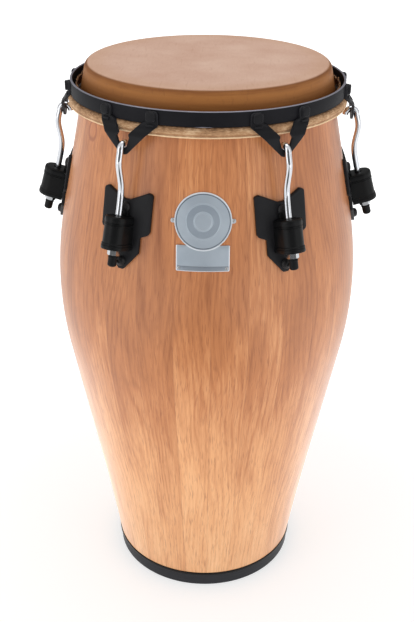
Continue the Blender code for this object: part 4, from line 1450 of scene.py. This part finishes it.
def badge_tag():
    tag = [(TAG_HALF, TAG_LOW, 0.0012), (TAG_HALF, TAG_TOP, 0.0012)]
    strip = [(STRIP_HALF, TAG_LOW + 0.0016, 0.0008), (STRIP_HALF, STRIP_TOP - 0.0008, 0.0008)]
    return [blank("badge_tag", rounded(tag + mirrored(tag)), BADGE * 0.75, 0.0003, steps=2),
            blank("badge_strip", rounded(strip + mirrored(strip)), BADGE * 0.95, 0.0002, steps=2)]


def badge_eyes():
    eyes = []
    for side in (-1, 1):
        root, tip = side * (DISC_RADIUS - 0.0008), side * EYE_REACH
        outline = rounded([
            (root, DISC_MIDDLE - EYE_HALF, 0), (tip, DISC_MIDDLE - EYE_HALF, 0.0024),
            (tip, DISC_MIDDLE + EYE_HALF, 0.0024), (root, DISC_MIDDLE + EYE_HALF, 0)], steps=6)
        eyes.append(blank("badge_eye", outline, BADGE * 0.75, 0.0002, steps=2))
    return eyes


def badge_disc():
    """Turned flat with a bead round the edge and two plain raised rings, then stood upright."""
    face, bead = BADGE * 0.82, BADGE
    profile = [(0, face)]
    for middle in RINGS:
        profile += [(middle - 0.0010, face), (middle - 0.0007, bead), (middle + 0.0007, bead),
                    (middle + 0.0010, face)]
    profile += [(GROOVE - 0.0006, face), (GROOVE, face - 0.0005), (GROOVE + 0.0006, face),
                (DISC_RADIUS - 0.0012, bead), (DISC_RADIUS - 0.0004, bead),
                (DISC_RADIUS, face - 0.0001), (DISC_RADIUS, 0), (0, 0)]
    disc = turn("badge_disc", profile, sides=DISC_SIDES)
    half_a_side = Matrix.Rotation(math.pi / DISC_SIDES, 4, "Z")    # no corner at an eye's middle
    disc.data.transform(Matrix.Translation((0, 0, DISC_MIDDLE))
                        @ Matrix.Rotation(math.pi / 2, 4, "X") @ half_a_side)
    return disc


def badge():
    item = badge_disc()
    for part in badge_tag() + badge_eyes():
        cut_with(item, part, "UNION")
    item.name = "badge_plate"
    cut_into_strips(item, spread(-BADGE_CUTS, BADGE_CUTS, 16),
                    spread(TAG_LOW + 0.004, TAG_TOP - 0.004, 3))
    lay_round(item, on_staves)
    smooth(item, 28)
    paint_with(item, badge_metal())
    return item


settle(badge(), "drum", ["badge"])

# %% [markdown]
# Badge pins
# Four small round-headed nails hold the badge. Each is turned, set square on the staves, and
# goes through its eye or the tag's corner into the wood.

# %% Badge pins
EYE_MIDDLE = 0.0364
CORNER_MIDDLE = 0.0288
PIN_HEAD = 0.0019
PIN_SHANK = 0.0009
PIN_POINT, PIN_END = -0.0075, -0.009


def pin_places():
    """(azimuth, height) of the nails in the eyes and in the tag's lower corners."""
    rows = [(EYE_MIDDLE, DISC_MIDDLE), (CORNER_MIDDLE, TAG_LOW + 0.0036)]
    return [(side * along / shell_radius(height), height)
            for along, height in rows for side in (-1, 1)]


PIN_METAL = bare_metal("pin_metal", 500.0, shade(170, 172, 174), shade(214, 214, 212),
                       0.2, 0.15, 0.00003)
for number, (azimuth, height) in enumerate(pin_places(), start=1):
    seat = BADGE + SEAT_GAP
    shank = [(0, PIN_END), (PIN_SHANK, PIN_POINT), (PIN_SHANK, seat)]
    dome = arc((0, seat), PIN_HEAD, PIN_SHANK, 0, 90, 6)
    pin = turn(f"badge_nail_{number}", shank + dome, sides=24)
    pin.data.transform(surface_matrix(azimuth, height))
    paint_with(pin, PIN_METAL)
    settle(pin, "drum", [f"badge_pin_{number}"])

# %% [markdown]
# Camera
# The camera stands where the photograph was taken: a little over a metre away, above the head and
# looking down. Its place and turn were fitted to the head's ellipse, the foot and the stations.

# %% Camera
FRAME_HEIGHT = 622
FOCAL_PIXELS = 970.87
CAMERA_AZIMUTH = math.radians(1.35)
CAMERA_DISTANCE, CAMERA_HEIGHT = 1.2569, 1.0476
CAMERA_PITCH, CAMERA_ROLL, CAMERA_YAW = 0.476, 0.009, -0.001


def photo_camera():
    data = bpy.data.cameras.new("photo_camera")
    data.lens = data.sensor_width * FOCAL_PIXELS / FRAME_HEIGHT
    data.clip_start = 0.01
    camera = bpy.data.objects.new("photo_camera", data)
    bpy.context.scene.collection.objects.link(camera)
    turn_in = Matrix.Rotation(CAMERA_AZIMUTH, 4, "Z")
    stand = Matrix.Translation((0, -CAMERA_DISTANCE, CAMERA_HEIGHT))
    aim = (Matrix.Rotation(CAMERA_YAW, 4, "Z")
           @ Matrix.Rotation(math.pi / 2 - CAMERA_PITCH, 4, "X")
           @ Matrix.Rotation(CAMERA_ROLL, 4, "Z"))
    camera.matrix_world = turn_in @ stand @ aim
    return camera


bpy.context.scene.camera = photo_camera()
print("lens", round(bpy.context.scene.camera.data.lens, 2), "mm")

# %% [markdown]
# Studio
# The drum stands on white paper in a white room, and the camera sees both as plain white. Gloss
# sees them a little darker, and sees a dim room behind the camera, which puts the dark line in
# the chrome. Most of the light comes evenly from the room and up from the paper, more of it from
# the sides, and three large soft lamps add the rest.

# %% Studio
ROOM_TOP = 0.62           # light that comes evenly from the room
ROOM_SIDES = 0.32         # and more of it from the left and the right
MIRROR_WHITE = 0.78       # what gloss sees around and behind the drum
MIRROR_ROOM = 0.14        # and what it sees of the room behind the camera
FLOOR_GLOW = 0.88         # the lit paper in front and behind, as the drum sees it
SIDE_GLOW = 1.20          # and how much brighter it is on the left and the right
MIRROR_PAPER = 0.62       # the paper as gloss sees it
MIRROR_NEAR = 0.85        # and how much brighter that is close beside and behind the drum
FLOOR_NEAR, FLOOR_FAR = 0.30, 1.1
PAPER_END, ROOM_START = 0.35, 0.95    # in front, the paper gives way to the dim room in mirrors
BARREL_MIDDLE = (0, 0, 0.42)


def studio_world():
    world = bpy.data.worlds.new("studio")
    bpy.context.scene.world = world
    world.use_nodes = True
    room = Nodes(world.node_tree)
    camera_ray = room.ray("Is Camera Ray")
    mirror_ray = room.maths("MAXIMUM", room.ray("Is Glossy Ray"), room.ray("Is Transmission Ray"))
    x, y, _ = room.split(room.node("ShaderNodeTexCoord", {}, {}, output="Generated"))
    on_surfaces = x * x * ROOM_SIDES + ROOM_TOP
    in_mirrors = room.between(y, -0.94, -0.62) * (MIRROR_WHITE - MIRROR_ROOM) + MIRROR_ROOM
    in_mirrors = in_mirrors * (1 - room.between(y, 0.20, 0.60) * 0.6)
    strength = on_surfaces * (1 - mirror_ray) + in_mirrors * mirror_ray
    strength = strength * (1 - camera_ray) + camera_ray
    background = world.node_tree.nodes["Background"]
    background.inputs["Color"].default_value = (1, 1, 1, 1)
    world.node_tree.links.new(strength.socket, background.inputs["Strength"])


def soft_lamp(name, place, target, width, height, power):
    data = bpy.data.lights.new(name, "AREA")
    data.shape = "RECTANGLE"
    data.size, data.size_y, data.energy = width, height, power
    lamp = bpy.data.objects.new(name, data)
    bpy.context.scene.collection.objects.link(lamp)
    lamp.location = place
    lamp.rotation_euler = (Vector(target) - Vector(place)).to_track_quat("-Z", "Y").to_euler()


def pale_floor():
    """Paper that looks white to the camera, but for the shadow, and lights the drum from below."""
    floor = begin_with(bpy.ops.mesh.primitive_circle_add, vertices=96, radius=9, fill_type="NGON",
                       location=(0, 0, -0.0002))
    floor.name = "studio_floor"
    paper = Finish("studio_paper", {"Roughness": 0.9, "Specular IOR Level": 0.1,
                                    "Emission Strength": 1.0})
    seen = paper.ray("Is Camera Ray")
    in_gloss = paper.ray("Is Glossy Ray")
    x, y, _ = paper.split(paper.place)
    aside = paper.between(paper.maths("ABSOLUTE", x), 0.25, 0.70)
    in_front = paper.between(-1 * y, PAPER_END, ROOM_START) * (1 - aside)
    paper.feed("Base Color", paper.mix(in_front, (0.55, 0.55, 0.55, 1), (0.10, 0.10, 0.10, 1)))
    away = paper.between(paper.maths("SQRT", x * x + y * y), FLOOR_NEAR, FLOOR_FAR)
    lift = away * 0.42 + 0.58
    lit = aside * SIDE_GLOW + FLOOR_GLOW
    beside = (1 - away) * paper.between(y, -0.15, 0.10)
    gloss = (1 - in_front) * (beside * MIRROR_NEAR + MIRROR_PAPER)
    glow = lift * seen + in_gloss * gloss + (1 - seen - in_gloss) * lit
    paper.feed("Emission Color", paper.combine(glow, glow, glow))
    paint_with(floor, paper.material)


studio_world()
pale_floor()
soft_lamp("key_left", (-1.5, -1.3, 1.1), BARREL_MIDDLE, 0.8, 1.6, 5)
soft_lamp("fill_right", (1.5, -1.3, 1.0), BARREL_MIDDLE, 0.8, 1.6, 3)
soft_lamp("top", (0.0, 0.3, 2.3), (0, 0, 0.5), 1.4, 1.4, 6)
bpy.context.scene.view_settings.view_transform = "Standard"
